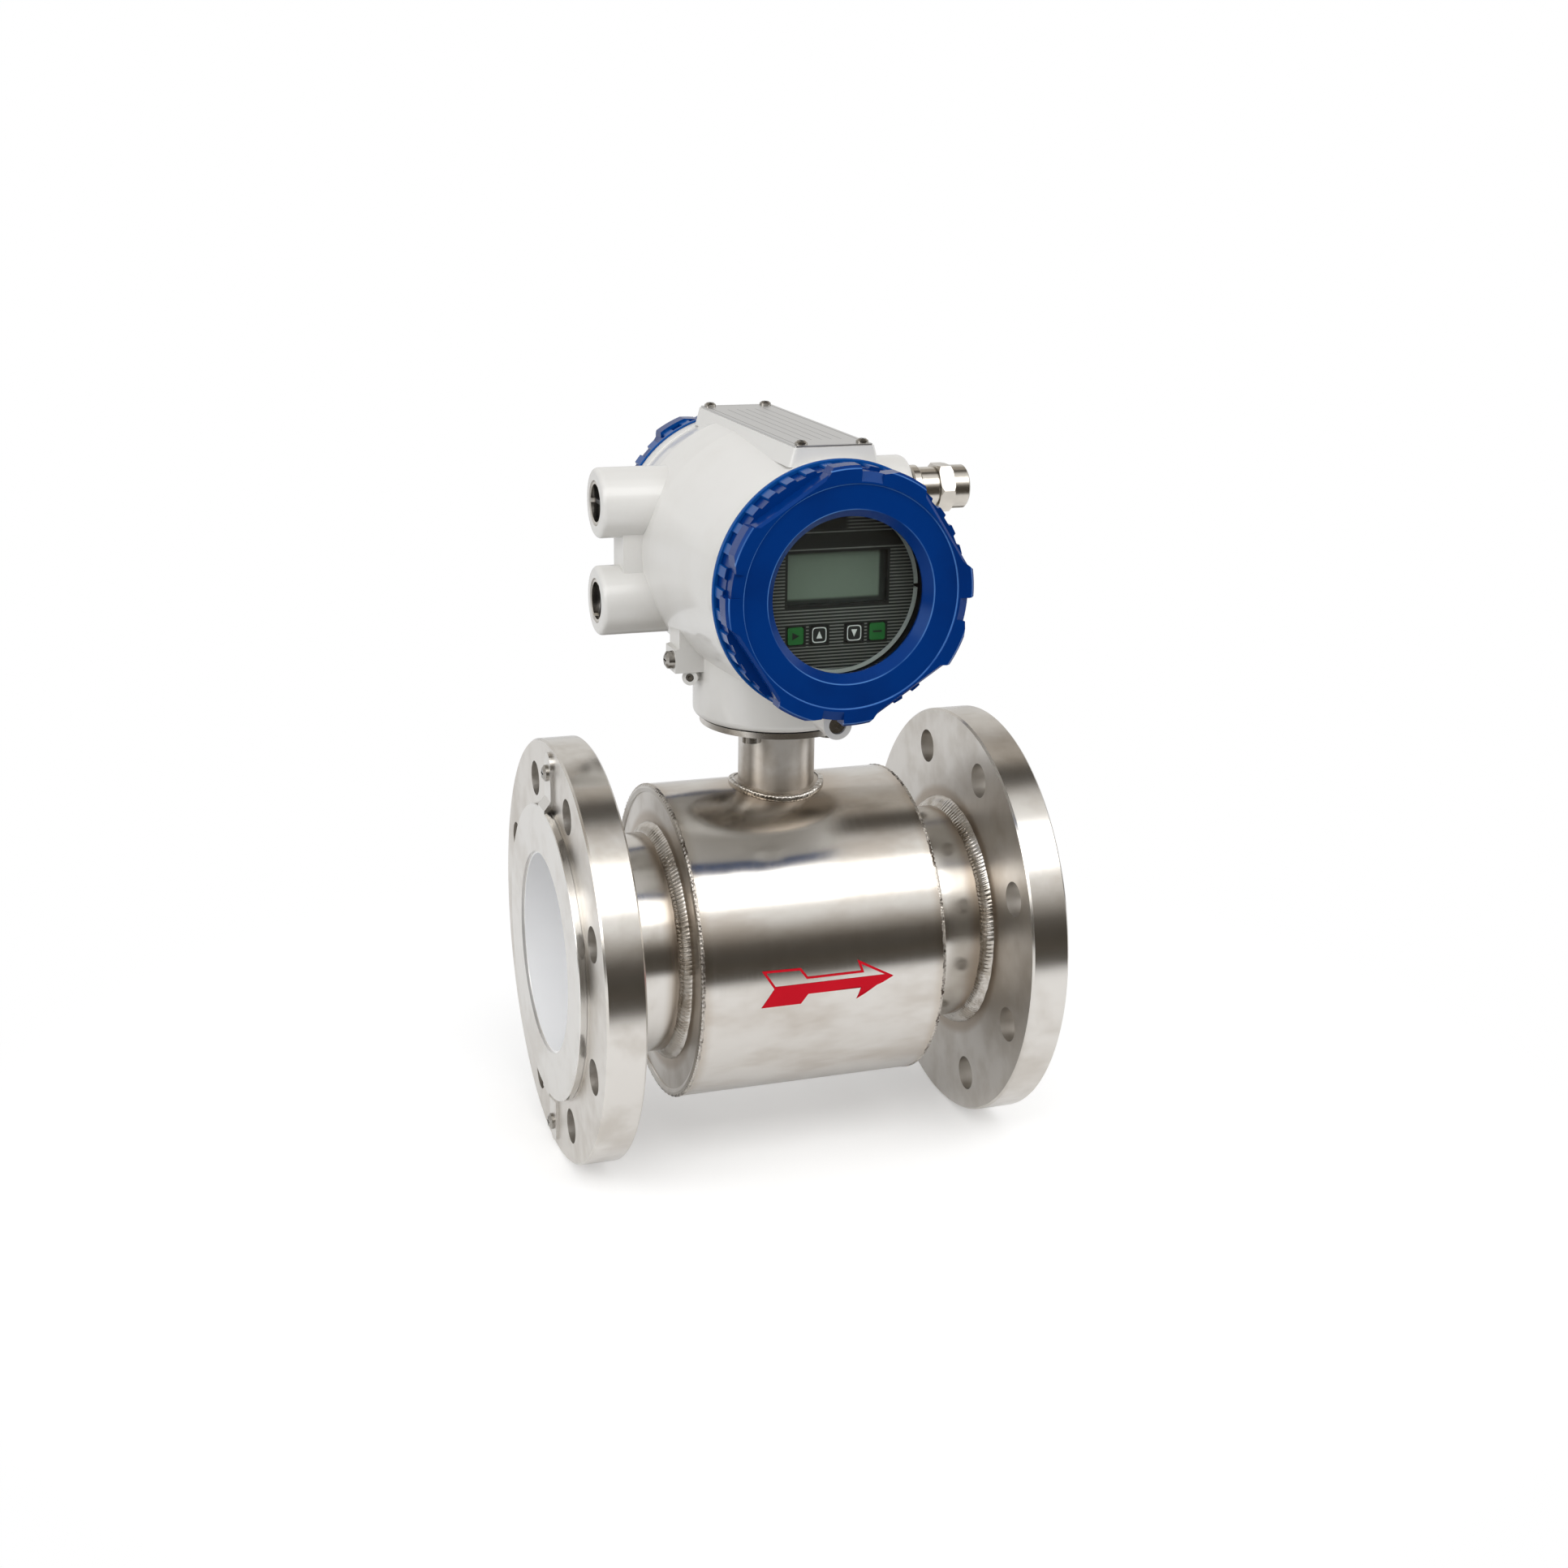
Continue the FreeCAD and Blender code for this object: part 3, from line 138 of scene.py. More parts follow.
def noise(material, vector, scale, detail=3.0, rough=0.5):
    """Fractal noise around one half."""
    node = add(material, "ShaderNodeTexNoise", {
        "Vector": vector, "Scale": scale, "Detail": detail, "Roughness": rough})
    return node.outputs["Fac"]


def maths(owner, operation, *values):
    """One arithmetic step on values or sockets."""
    node = add(owner, "ShaderNodeMath", dict(enumerate(values)), operation=operation)
    return node.outputs["Value"]


def scaled(material, value, gain, base):
    """value * gain + base."""
    return maths(material, "ADD", maths(material, "MULTIPLY", value, gain), base)


def both(material, *shares):
    """The product of several shares."""
    result = shares[0]
    for share in shares[1:]:
        result = maths(material, "MULTIPLY", result, share)
    return result


def largest(material, *shares):
    """The largest of several shares."""
    result = shares[0]
    for share in shares[1:]:
        result = maths(material, "MAXIMUM", result, share)
    return result


def spread(material, value, low, high, to_low=0.0, to_high=1.0):
    """A value carried smoothly from one range to another, and held at its ends."""
    node = add(material, "ShaderNodeMapRange", {
        "Value": value, "From Min": low, "From Max": high, "To Min": to_low, "To Max": to_high},
        interpolation_type="SMOOTHSTEP")
    return node.outputs["Result"]


def above(material, value, edge, soft):
    """One where a value is above an edge, with a soft step from nought."""
    return spread(material, value, edge - soft, edge + soft)


def below(material, value, edge, soft):
    """One where a value is below an edge, with a soft step to nought."""
    return spread(material, value, edge + soft, edge - soft)


def within(material, value, middle, half, soft=0.00008):
    """One where a value lies within a half width of a middle, falling to nought at the edge."""
    away = maths(material, "ABSOLUTE", maths(material, "SUBTRACT", value, middle))
    return below(material, away, half, soft)


def split_axes(material, vector):
    """The X, Y and Z of a vector."""
    node = add(material, "ShaderNodeSeparateXYZ", {"Vector": vector})
    return node.outputs["X"], node.outputs["Y"], node.outputs["Z"]


def length_of(material, first, second):
    """The square root of the sum of two squares."""
    squares = [maths(material, "MULTIPLY", value, value) for value in (first, second)]
    return maths(material, "SQRT", maths(material, "ADD", *squares))


def blend_colour(material, share, first, second):
    """A mix of two colours or sockets by a share."""
    node = add(material, "ShaderNodeMix", data_type="RGBA")
    for index, source in ((0, share), (6, first), (7, second)):
        if isinstance(source, bpy.types.NodeSocket):
            material.node_tree.links.new(source, node.inputs[index])
        else:
            node.inputs[index].default_value = source if index == 0 else (*source, 1.0)
    return node.outputs[2]


def drive(material, shader, label, source):
    """Links a socket into the shader."""
    material.node_tree.links.new(source, shader.inputs[label])


def roughen(material, shader, height, strength, distance):
    """Bump from a height."""
    node = add(material, "ShaderNodeBump", {
        "Height": height, "Strength": strength, "Distance": distance})
    drive(material, shader, "Normal", node.outputs["Normal"])


# ---- finishes ----------------------------------------------------------------------
def turned_steel(name, pale, dark, smooth):
    """Stainless steel turned about the pipe's axis: fine rings, soft smears and handling marks,
    polished on the rounds, satin on the faces across the pipe and in the bolt holes, and
    browned beside the welds."""
    material, shader = shader_of(name, pale, 1.0, smooth)
    around = place(material)
    x, y, z = split_axes(material, around)
    radius = length_of(material, y, z)
    rings = add(material, "ShaderNodeCombineXYZ", {"X": x, "Y": radius, "Z": 0.0})
    lines = noise(material, rings.outputs["Vector"], 1300.0, 2.0, 0.6)
    smear = noise(material, around, 19.0, 4.0, 0.6)
    patch = noise(material, around, 75.0, 3.0, 0.55)
    marks = scaled(material, smear, 0.75, maths(material, "MULTIPLY", patch, 0.25))
    tone = blend_colour(material, spread(material, marks, 0.42, 0.66), pale, dark)
    weld_places = (inlet_high.x - weld_leg / 2, shell_low.x - weld_leg / 2,
                   shell_high.x + weld_leg / 2, outlet_low.x + weld_leg / 2)
    beside = [within(material, x, weld_x, 0.0075, 0.0035) for weld_x in weld_places]
    heated = both(material, largest(material, *beside),
                  below(material, radius, tube_r + 0.0105, 0.0025), 0.8)
    drive(material, shader, "Base Color",
          blend_colour(material, heated, tone, (0.40, 0.335, 0.27)))
    facing, _, _ = split_axes(material, add(material, "ShaderNodeTexCoord").outputs["Normal"])
    facing = maths(material, "ABSOLUTE", facing)
    satin = spread(material, facing, 0.75, 0.97, smooth - 0.10, smooth + 0.06)
    bored = both(material, below(material, facing, 0.4, 0.1),
                 within(material, radius, bolt_circle_r, bolt_hole_r, 0.0004))
    satin = scaled(material, bored, 0.2, satin)
    grain = scaled(material, lines, 0.05, maths(material, "MULTIPLY", smear, 0.14))
    drive(material, shader, "Roughness", maths(material, "ADD", grain, satin))
    roughen(material, shader, lines, 0.03, 0.00002)
    return material


def stem_steel():
    """The stem: turned round its own upright axis, so reflections draw out into upright bands."""
    material, shader = shader_of("stainless_stem", stem_pale, 1.0, 0.40,
                                 Anisotropic=0.85, Anisotropic_Rotation=0.25)
    around = add(material, "ShaderNodeTangent", direction_type="RADIAL", axis="Z")
    drive(material, shader, "Tangent", around.outputs["Tangent"])
    vector = place(material)
    lines = noise(material, place(material, scale=(0.05, 0.05, 1)), 1300.0, 2.0, 0.6)
    smear = noise(material, vector, 40.0, 4.0, 0.6)
    tone = blend_colour(material, spread(material, smear, 0.42, 0.68),
                        stem_pale, (0.54, 0.50, 0.45))
    _, _, z = split_axes(material, vector)
    heated = maths(material, "MULTIPLY", below(material, z, shell_r + 0.0075, 0.0045), 0.5)
    drive(material, shader, "Base Color", blend_colour(material, heated, tone, heat_brown))
    drive(material, shader, "Roughness", scaled(material, smear, 0.12, 0.36))
    roughen(material, shader, lines, 0.03, 0.00002)
    return material


def shell_steel():
    """The rolled shell: brushed round the pipe, smudged, and tinted by heat at the stem and
    rims."""
    pale, dark = (0.66, 0.635, 0.60), (0.52, 0.475, 0.425)
    material, shader = shader_of("stainless_shell", pale, 1.0, 0.24)
    brushed = noise(material, place(material, scale=(40, 1, 1)), 26.0, 3.0, 0.6)
    smear = noise(material, place(material, scale=(0.45, 1, 1)), 26.0, 4.0, 0.6)
    x, y, z = split_axes(material, place(material, shift=(-middle_x, 0, 0)))
    near_stem = both(material, spread(material, length_of(material, x, y), 0.046, 0.021),
                     spread(material, z, 0.0, 0.03), 0.75)
    near_rim = both(material, spread(material, maths(material, "ABSOLUTE", x), 0.0575, 0.0636), 0.5)
    tone = blend_colour(material, spread(material, smear, 0.42, 0.68), pale, dark)
    drive(material, shader, "Base Color",
          blend_colour(material, largest(material, near_stem, near_rim), tone, heat_brown))
    grain = scaled(material, brushed, 0.06, maths(material, "MULTIPLY", smear, 0.14))
    drive(material, shader, "Roughness", maths(material, "ADD", grain, 0.075))
    roughen(material, shader, brushed, 0.03, 0.00003)
    return material


def weld_metal(name, pale, dark, rough, bump):
    """Weld metal: bright crests, darker and duller where the noise is low."""
    material, shader = shader_of(name, pale, 1.0, rough)
    vector = place(material)
    spots = noise(material, vector, 520.0, 3.0, 0.65)
    soft = noise(material, vector, 60.0, 3.0, 0.5)
    marks = scaled(material, spots, 0.3, maths(material, "MULTIPLY", soft, 0.7))
    drive(material, shader, "Base Color",
          blend_colour(material, spread(material, marks, 0.40, 0.56), dark, pale))
    drive(material, shader, "Roughness", scaled(material, soft, 0.25, rough - 0.12))
    roughen(material, shader, spots, bump, 0.0001)
    return material


def plain_metal(name, colour, roughness):
    """A bright metal with a fine grain and a little variation."""
    material, shader = shader_of(name, colour, 1.0, roughness)
    vector = place(material)
    fine = noise(material, vector, 400.0, 3.0, 0.6)
    patches = noise(material, vector, 60.0, 3.0, 0.5)
    darker = tuple(c * 0.8 for c in colour)
    drive(material, shader, "Base Color",
          blend_colour(material, spread(material, patches, 0.35, 0.7), colour, darker))
    drive(material, shader, "Roughness", scaled(material, patches, 0.2, roughness - 0.1))
    roughen(material, shader, fine, 0.08, 0.00004)
    return material


def casting_enamel():
    """Warm white stoved enamel on the casting, bare machined threads on its two spigots, and near
    black on its inner surfaces."""
    material, shader = shader_of("enamel_white", (0.74, 0.73, 0.705), 0.0, 0.35,
                                 Coat_Weight=0.5, Coat_Roughness=0.07)
    vector = place(material)
    x, y, z = split_axes(material, place(material, shift=(-middle_x, 0, -head_z)))
    radius = length_of(material, x, z)
    along = maths(material, "ABSOLUTE", y)
    inside = largest(material, below(material, radius, bore_r, 0.0002),
                     both(material, below(material, radius, barrel_r, 0.0002),
                          below(material, along, barrel_y, 0.0002)))
    bare = both(material, above(material, along, spigot_y, 0.00015),
                below(material, radius, spigot_r, 0.00015),
                maths(material, "SUBTRACT", 1.0, inside))
    peel = noise(material, vector, 420.0, 2.0, 0.5)
    patches = noise(material, vector, 16.0, 4.0, 0.55)
    paint = blend_colour(material, spread(material, patches, 0.42, 0.75),
                         (0.745, 0.735, 0.71), (0.70, 0.685, 0.65))
    outside = blend_colour(material, bare, paint, (0.62, 0.63, 0.64))
    drive(material, shader, "Base Color",
          blend_colour(material, inside, outside, (0.018, 0.018, 0.02)))
    drive(material, shader, "Metallic", bare)
    drive(material, shader, "Roughness", scaled(material, patches, 0.2, 0.24))
    thread = maths(material, "PINGPONG", maths(material, "ADD", y, 1.0), thread_pitch / 2)
    height = scaled(material, peel, 0.00003, both(material, thread, 0.6, bare))
    roughen(material, shader, height, 1.0, 1.0)
    return material


def cover_enamel():
    """Deep blue stoved enamel, with painted light: the teeth painted a paler blue as if lit, and
    painted highlights in pale lines along the turned edges of the face."""
    material, shader = shader_of("enamel_blue", (0.0, 0.03, 0.20), 0.0, 0.3,
                                 IOR=1.32, Specular_Tint=(0.4, 0.65, 1.0, 1.0))
    vector = place(material)
    x, y, z = split_axes(material, place(material, shift=(-middle_x, 0, -head_z)))
    radius = length_of(material, x, z)
    along = maths(material, "ABSOLUTE", y)
    peel = noise(material, vector, 380.0, 2.0, 0.5)
    patches = noise(material, vector, 20.0, 4.0, 0.55)
    # Painted highlights: pale blue lines along the three turned edges of the face, broken by the
    # patches, standing in for the light those edges catch.
    lines = [within(material, radius, edge, 0.00026, 0.00014) for edge in cover_edges]
    painted_edge_highlight = both(material, largest(material, *lines), above(material, along, cover_face_y, 0.0003),
                  spread(material, patches, 0.3, 0.6))
    # Painted light: the teeth of the skirt take a paler blue, standing in for the light they catch.
    painted_light_on_teeth = both(material, below(material, along, cover_skirt_y, 0.0002),
                above(material, radius, cover_skirt_r, 0.0004), 0.8)
    tone = blend_colour(material, spread(material, patches, 0.4, 0.75),
                        (0.0, 0.030, 0.185), (0.0, 0.022, 0.145))
    tone = blend_colour(material, painted_light_on_teeth, tone, (0.004, 0.075, 0.30))
    drive(material, shader, "Base Color", blend_colour(material, painted_edge_highlight, tone, (0.07, 0.20, 0.52)))
    drive(material, shader, "Roughness", scaled(material, patches, 0.14, 0.16))
    roughen(material, shader, peel, 0.08, 0.0003)
    return material


def plain_plastic(name, colour, roughness, scale=900.0, gloss=0.5):
    """A moulded plastic, paint or rubber with a fine grain."""
    material, shader = shader_of(name, colour, 0.0, roughness, Specular_IOR_Level=gloss)
    vector = place(material)
    grain = noise(material, vector, scale, 2.0, 0.5)
    patches = noise(material, vector, 45.0, 3.0, 0.5)
    lighter = tuple(min(1.0, c * 1.15 + 0.004) for c in colour)
    drive(material, shader, "Base Color", blend_colour(material, patches, colour, lighter))
    drive(material, shader, "Roughness", scaled(material, patches, 0.16, roughness - 0.08))
    roughen(material, shader, grain, 0.2, 0.00006)
    return material


def panel_print():
    """The black panel: fine grey stripes, a plain title bar, and black margins round the display
    and the four keys."""
    material, shader = shader_of("panel_print", (0.02, 0.02, 0.022), 0.0, 0.38)
    x, _, z = split_axes(material, place(material, shift=(-middle_x, 0, -head_z)))
    wave = maths(material, "SINE", maths(material, "MULTIPLY", z, 2 * math.pi / stripe_pitch))
    margins = [(0.0, lcd_z - head_z, 0.0262, 0.0137)]
    for name in key_names:
        low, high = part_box(name)
        middle = (low + high) / 2
        margins.append((middle.x - middle_x, middle.z - head_z, 0.0052, 0.0054))
    plain = [both(material, within(material, x, across, half_x), within(material, z, up, half_z))
             for across, up, half_x, half_z in margins]
    title_bar = within(material, z, 0.0235, 0.0031)
    top_block = both(material, above(material, z, 0.02885, 0.00015),
                     below(material, x, 0.0045, 0.0015))
    plain = largest(material, *plain, title_bar, top_block)
    share = both(material, spread(material, wave, 0.0, 0.55),
                 maths(material, "SUBTRACT", 1.0, plain))
    drive(material, shader, "Base Color",
          blend_colour(material, share, (0.004, 0.005, 0.005), (0.20, 0.205, 0.19)))
    dust = noise(material, place(material), 300.0, 2.0, 0.5)
    drive(material, shader, "Roughness", scaled(material, dust, 0.2, 0.28))
    return material


def display_face():
    """The unlit display: greenish grey, darker towards its frame."""
    material, shader = shader_of("display_face", (0.10, 0.13, 0.105), 0.0, 0.22)
    x, _, z = split_axes(material, place(material, shift=(-middle_x, 0, -lcd_z)))
    lit = both(material, within(material, x, -0.0008, 0.0231, 0.0008),
               within(material, z, 0.0006, 0.0108, 0.0009))
    cloud = noise(material, place(material), 70.0, 2.0, 0.5)
    pale = blend_colour(material, cloud, (0.20, 0.25, 0.20), (0.22, 0.27, 0.22))
    drive(material, shader, "Base Color", blend_colour(material, lit, (0.03, 0.034, 0.032), pale))
    drive(material, shader, "Roughness", scaled(material, cloud, 0.08, 0.16))
    return material


def nameplate_metal():
    """Brushed bare metal with a thin dark border and the rules of an empty form."""
    material, shader = shader_of("nameplate_metal", (0.62, 0.62, 0.62), 1.0, 0.34)
    middle = (plate_low + plate_high) / 2
    half = (plate_high - plate_low) / 2
    x, y, _ = split_axes(material, place(material, shift=tuple(-middle)))
    brushed = noise(material, place(material, scale=(1, 30, 1)), 60.0, 3.0, 0.6)
    along, across = maths(material, "ABSOLUTE", y), maths(material, "ABSOLUTE", x)
    outer, inner = [both(material, below(material, along, half.y - inset - 0.0004, 0.0001),
                         below(material, across, half.x - inset, 0.0001))
                    for inset in (0.0019, 0.0023)]
    row = maths(material, "PINGPONG", maths(material, "ADD", x, 1.0), plate_rule_pitch / 2)
    rules = both(material, below(material, row, 0.00017, 0.00005),
                 within(material, y, 0.0, half.y - 0.018), within(material, x, 0.0, half.x - 0.005))
    ink = largest(material, maths(material, "SUBTRACT", outer, inner), rules)
    metal = blend_colour(material, brushed, (0.56, 0.56, 0.555), (0.66, 0.66, 0.66))
    drive(material, shader, "Base Color", blend_colour(material, ink, metal, (0.03, 0.03, 0.03)))
    drive(material, shader, "Metallic", maths(material, "SUBTRACT", 1.0, ink))
    drive(material, shader, "Roughness", scaled(material, brushed, 0.16, 0.26))
    roughen(material, shader, brushed, 0.06, 0.00003)
    return material


def pane():
    """Clear glass that lets the lamps through to the display."""
    material, shader = shader_of("clear_glass", (0.93, 0.97, 0.95), 0.0, 0.0,
                                 Transmission_Weight=1.0, IOR=1.45)
    path = add(material, "ShaderNodeLightPath")
    clear = add(material, "ShaderNodeBsdfTransparent", {"Color": (0.9, 0.95, 0.93, 1.0)})
    mixed = add(material, "ShaderNodeMixShader", {
        "Fac": path.outputs["Is Shadow Ray"],
        1: shader.outputs["BSDF"], 2: clear.outputs["BSDF"]})
    tree = material.node_tree
    tree.links.new(mixed.outputs["Shader"], tree.nodes["Material Output"].inputs["Surface"])
    return material


def dress(name, finish):
    """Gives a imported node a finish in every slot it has."""
    node = frame["nodes"][name]
    for index in range(len(node.data.materials)):
        node.data.materials[index] = finish


turned = turned_steel("stainless_turned", (0.67, 0.645, 0.61), (0.55, 0.515, 0.47), 0.19)
ring_steel = turned_steel("stainless_ring", (0.72, 0.705, 0.68), (0.64, 0.615, 0.58), 0.22)
key_green = plain_plastic("key_green", (0.016, 0.150, 0.032), 0.32)
mark_white = plain_plastic("mark_white", (0.74, 0.75, 0.73), 0.4)
mark_black = plain_plastic("mark_black", (0.008, 0.010, 0.008), 0.4)
finishes = {
    "stainless": turned,
    "polished_stainless": ring_steel,
    "zinc_screws": plain_metal("zinc_screws", (0.40, 0.38, 0.35), 0.22),
    "magnet_steel": plain_metal("magnet_steel", (0.22, 0.22, 0.23), 0.45),
    "enamel_white": casting_enamel(),
    "enamel_blue": cover_enamel(),
    "ptfe_white": plain_plastic("liner_white", (0.95, 0.955, 0.97), 0.32),
    "black_plastic": plain_plastic("black_plastic", (0.012, 0.012, 0.013), 0.4),
    "panel_black": panel_print(),
    "lcd_green": display_face(),
    "board_green": plain_plastic("board_green", (0.01, 0.09, 0.03), 0.35),
    "key_rubber": plain_plastic("key_black", (0.012, 0.013, 0.013), 0.4),
    "seal_rubber": plain_plastic("seal_rubber", (0.02, 0.02, 0.02), 0.6),
    "window_glass": pane(),
    "nickel_brass": plain_metal("nickel_plate", (0.66, 0.62, 0.56), 0.2),
    "plate_metal": nameplate_metal(),
    "coil_copper": plain_metal("coil_copper", (0.75, 0.33, 0.16), 0.35),
    "anodised": plain_metal("anodised", (0.52, 0.53, 0.53), 0.3),
}
for name, node in frame["nodes"].items():
    slot = next((m.name for m in node.data.materials if m), "stainless")
    dress(name, finishes.get(slot.split(".")[0], turned))
dress("coil_housing_shell", shell_steel())
dress("stem", stem_steel())
dress("glass_retainer", plain_metal("retainer_black", (0.03, 0.03, 0.032), 0.4))
dress("panel_bezel", plain_plastic("bezel_satin", (0.50, 0.52, 0.50), 0.38))
dress("menu_key", key_green)
dress("enter_key", key_green)


# ---- surfaces ------------------------------------------------------------------------
def surface(name, grid, material, body, round_rows=False, round_columns=False, flip=False):
    """A smooth mesh over a grid of points, joined round in either direction where asked."""
    rows, columns = grid.shape[:2]
    index = np.arange(rows * columns).reshape(rows, columns)
    index = np.concatenate([index, index[:1]], axis=0) if round_rows else index
    index = np.concatenate([index, index[:, :1]], axis=1) if round_columns else index
    corners = [index[:-1, :-1], index[1:, :-1], index[1:, 1:], index[:-1, 1:]]
    quads = np.stack(corners, axis=-1).reshape(-1, 4)
    quads = quads[:, ::-1] if flip else quads
    mesh = bpy.data.meshes.new(name)
    mesh.from_pydata(grid.reshape(-1, 3).tolist(), [], quads.tolist())
    mesh.polygons.foreach_set("use_smooth", np.ones(len(quads), dtype=bool))
    mesh.materials.append(material)
    piece = bpy.data.objects.new(name, mesh)
    bpy.context.scene.collection.objects.link(piece)
    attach(piece, body)
    return piece


# ---- the welds -----------------------------------------------------------------------
def ripples(turn, share, count, depth):
    """The height of a run of overlapping weld pools. Each pool is an arch in the run's
    direction, half a wave long, and its front bends back towards the bead's two edges. With
    across = 2 * share - 1,
    height = depth * |sin(count * turn / 2 + 1.3 * across^2 + wander)| * sqrt(sin(pi share))."""
    wander = 0.9 * np.sin(5 * turn) + 0.6 * np.sin(13 * turn + 1.0) + 0.35 * np.sin(31 * turn + 2.0)
    pools = np.abs(np.sin(count * turn / 2 + 1.3 * (2 * share - 1) ** 2 + wander))
    return depth * pools * np.sin(math.pi * share) ** 0.5


def corner_weld(name, face_x, way):
    """A fillet weld round the pipe. At a share s across it and an angle t round it, the flat
    face of the corner runs from (leg, 0) along the pipe to (0, leg) out from it, it is raised
    along its normal by 0.45 mm * sin(pi s) and by the ripples, and its edges sink a little."""
    turn = np.linspace(0, 2 * math.pi, weld_pools * 8, endpoint=False)[:, None]
    share = np.linspace(0, 1, 10)[None, :]
    wide = weld_leg + 0.0004 + 0.00012 * np.sin(17 * turn) + 0.0001 * np.sin(41 * turn + 0.7)
    lift = 0.00045 * np.sin(math.pi * share) + ripples(turn, share, weld_pools, 0.00034)
    lift = (lift - 0.0001) / math.sqrt(2)
    along = wide * (1 - share) + lift
    out = tube_r + wide * share + lift
    grid = np.stack([face_x + way * along, out * np.cos(turn), out * np.sin(turn)], axis=-1)
    surface(name, grid, bright_weld, "meter_body", round_rows=True, flip=way > 0)


def rim_weld(name, rim_x, way):
    """The rough bead along a rim of the shell. Round its section by an angle a, the radius is
    1.1 mm * (1 + 0.16 * lumps), with lumps a sum of sines of the turn and of a."""
    turn = np.linspace(0, 2 * math.pi, rim_lumps * 6, endpoint=False)[:, None]
    angle = np.linspace(-0.35 * math.pi, 1.15 * math.pi, 12)[None, :]
    lumps = np.sin(rim_lumps * turn + 1.2 * np.sin(7 * turn)) * np.cos(angle - 1.2)
    lumps = lumps + 0.5 * np.sin(0.37 * rim_lumps * turn + 3 * angle)
    lumps = lumps + 0.35 * np.sin(1.73 * rim_lumps * turn - 2 * angle)
    thick = 0.0011 * (1 + 0.16 * lumps)
    out = shell_r - 0.0009 + thick * np.cos(angle)
    along = -0.0003 + thick * np.sin(angle)
    grid = np.stack([rim_x + way * along, out * np.cos(turn), out * np.sin(turn)], axis=-1)
    surface(name, grid, rough_weld, "meter_body", round_rows=True, flip=way < 0)


def stem_weld():
    """The bead where the stem stands on the shell. Its path is the stem's circle dropped onto
    the shell, z = sqrt(shell_r^2 - y^2), and its section is a raised corner as on the other
    welds, from 2.7 mm out along the shell to 2.2 mm up the stem."""
    turn = np.linspace(0, 2 * math.pi, stem_pools * 8, endpoint=False)[:, None]
    share = np.linspace(0, 1, 10)[None, :]
    lift = 0.0012 * np.sin(math.pi * share) + ripples(turn, share, stem_pools, 0.00025)
    lift = lift + 0.00006 * np.sin(23 * turn + 5 * share) + 0.00005 * np.sin(47 * turn)
    away = stem_r + 0.0027 * (1 - share) + 0.66 * lift - 0.0001
    x, y = away * np.cos(turn), away * np.sin(turn)
    z = np.sqrt(shell_r ** 2 - y ** 2) + 0.0022 * share + 0.74 * lift - 0.00015
    grid = np.stack([middle_x + x, y, z], axis=-1)
    surface("stem_weld", grid, bright_weld, "meter_body", round_rows=True)


bright_weld = weld_metal("weld_bright", (0.62, 0.59, 0.55), (0.40, 0.36, 0.31), 0.22, 0.06)
rough_weld = weld_metal("weld_rough", (0.56, 0.52, 0.47), (0.07, 0.055, 0.045), 0.34, 0.6)
corner_weld("inlet_flange_weld", inlet_high.x - weld_leg, 1)
corner_weld("outlet_flange_weld", outlet_low.x + weld_leg, -1)
corner_weld("inlet_plate_weld", shell_low.x, -1)
corner_weld("outlet_plate_weld", shell_high.x, 1)
rim_weld("inlet_rim_weld", shell_low.x, -1)
rim_weld("outlet_rim_weld", shell_high.x, 1)
stem_weld()


# ---- the flow arrow ------------------------------------------------------------------
def on_shell(flat, lift):
    """Carries points (x from the middle, height) onto the display side of the shell."""
    x, z = flat[..., 0], flat[..., 1]
    return np.stack([middle_x + x, -np.sqrt((shell_r + lift) ** 2 - z ** 2), z], axis=-1)


def between(first, second, steps):
    """A ruled sheet between two runs of points, in a number of steps."""
    share = np.linspace(0, 1, steps)[None, :, None]
    return first[:, None, :] * (1 - share) + second[:, None, :] * share


def inner_line(corners, width):
    """A closed outline moved inwards by a width, with mitred corners: at each corner, the sum of
    the two normals over one plus their product."""
    back = corners - np.roll(corners, 1, axis=0)
    ahead = np.roll(corners, -1, axis=0) - corners
    normals = [np.stack([side[:, 1], -side[:, 0]], axis=-1) / np.linalg.norm(side, axis=1)[:, None]
               for side in (back, ahead)]
    dot = (normals[0] * normals[1]).sum(axis=1)[:, None]
    return corners + width * (normals[0] + normals[1]) / (1 + dot)


def flow_arrow():
    """The red arrow: the lower half filled, the upper half in outline. Its corners are in
    millimetres from the shell's middle."""
    red = plain_plastic("arrow_red", (0.56, 0.0, 0.012), 0.45, 700.0, 0.15)
    middle_line = np.array([(-27.5, 0), (-13.2, 0), (-9.5, 0),
                            (18.8, 0), (21.0, 0), (36.0, 0)]) / 1000
    lower = np.array([(-34.0, -9.6), (-13.2, -9.6), (-9.5, -4.6),
                      (18.8, -4.6), (16.4, -10.6), (36.0, 0)]) / 1000
    upper = np.array([(36.0, 0), (-27.5, 0), (-34.0, 10.0), (-13.6, 9.6), (-9.9, 4.7),
                      (18.4, 4.7), (16.4, 10.6)]) / 1000
    filled = on_shell(between(middle_line, lower, 12), 0.00012)
    surface("flow_arrow_filled", filled, red, "meter_body")
    steps = np.linspace(0, 1, 13)[:-1, None]
    outer, inner = [np.concatenate([a * (1 - steps) + b * steps
                                    for a, b in zip(line, np.roll(line, -1, axis=0))])
                    for line in (upper, inner_line(upper, 0.0012))]
    outline = on_shell(between(outer, inner, 2), 0.00016)
    surface("flow_arrow_outline", outline, red, "meter_body", round_rows=True, flip=True)


flow_arrow()


# ---- marks on the keys ---------------------------------------------------------------
def on_key(key, across, up):
    """Carries points (across and up from the key's middle) onto the key's face."""
    low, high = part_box(key)
    face_y = np.full(across.shape, low.y - 0.00006)
    return np.stack([(low.x + high.x) / 2 + across, face_y, (low.z + high.z) / 2 + up], axis=-1)


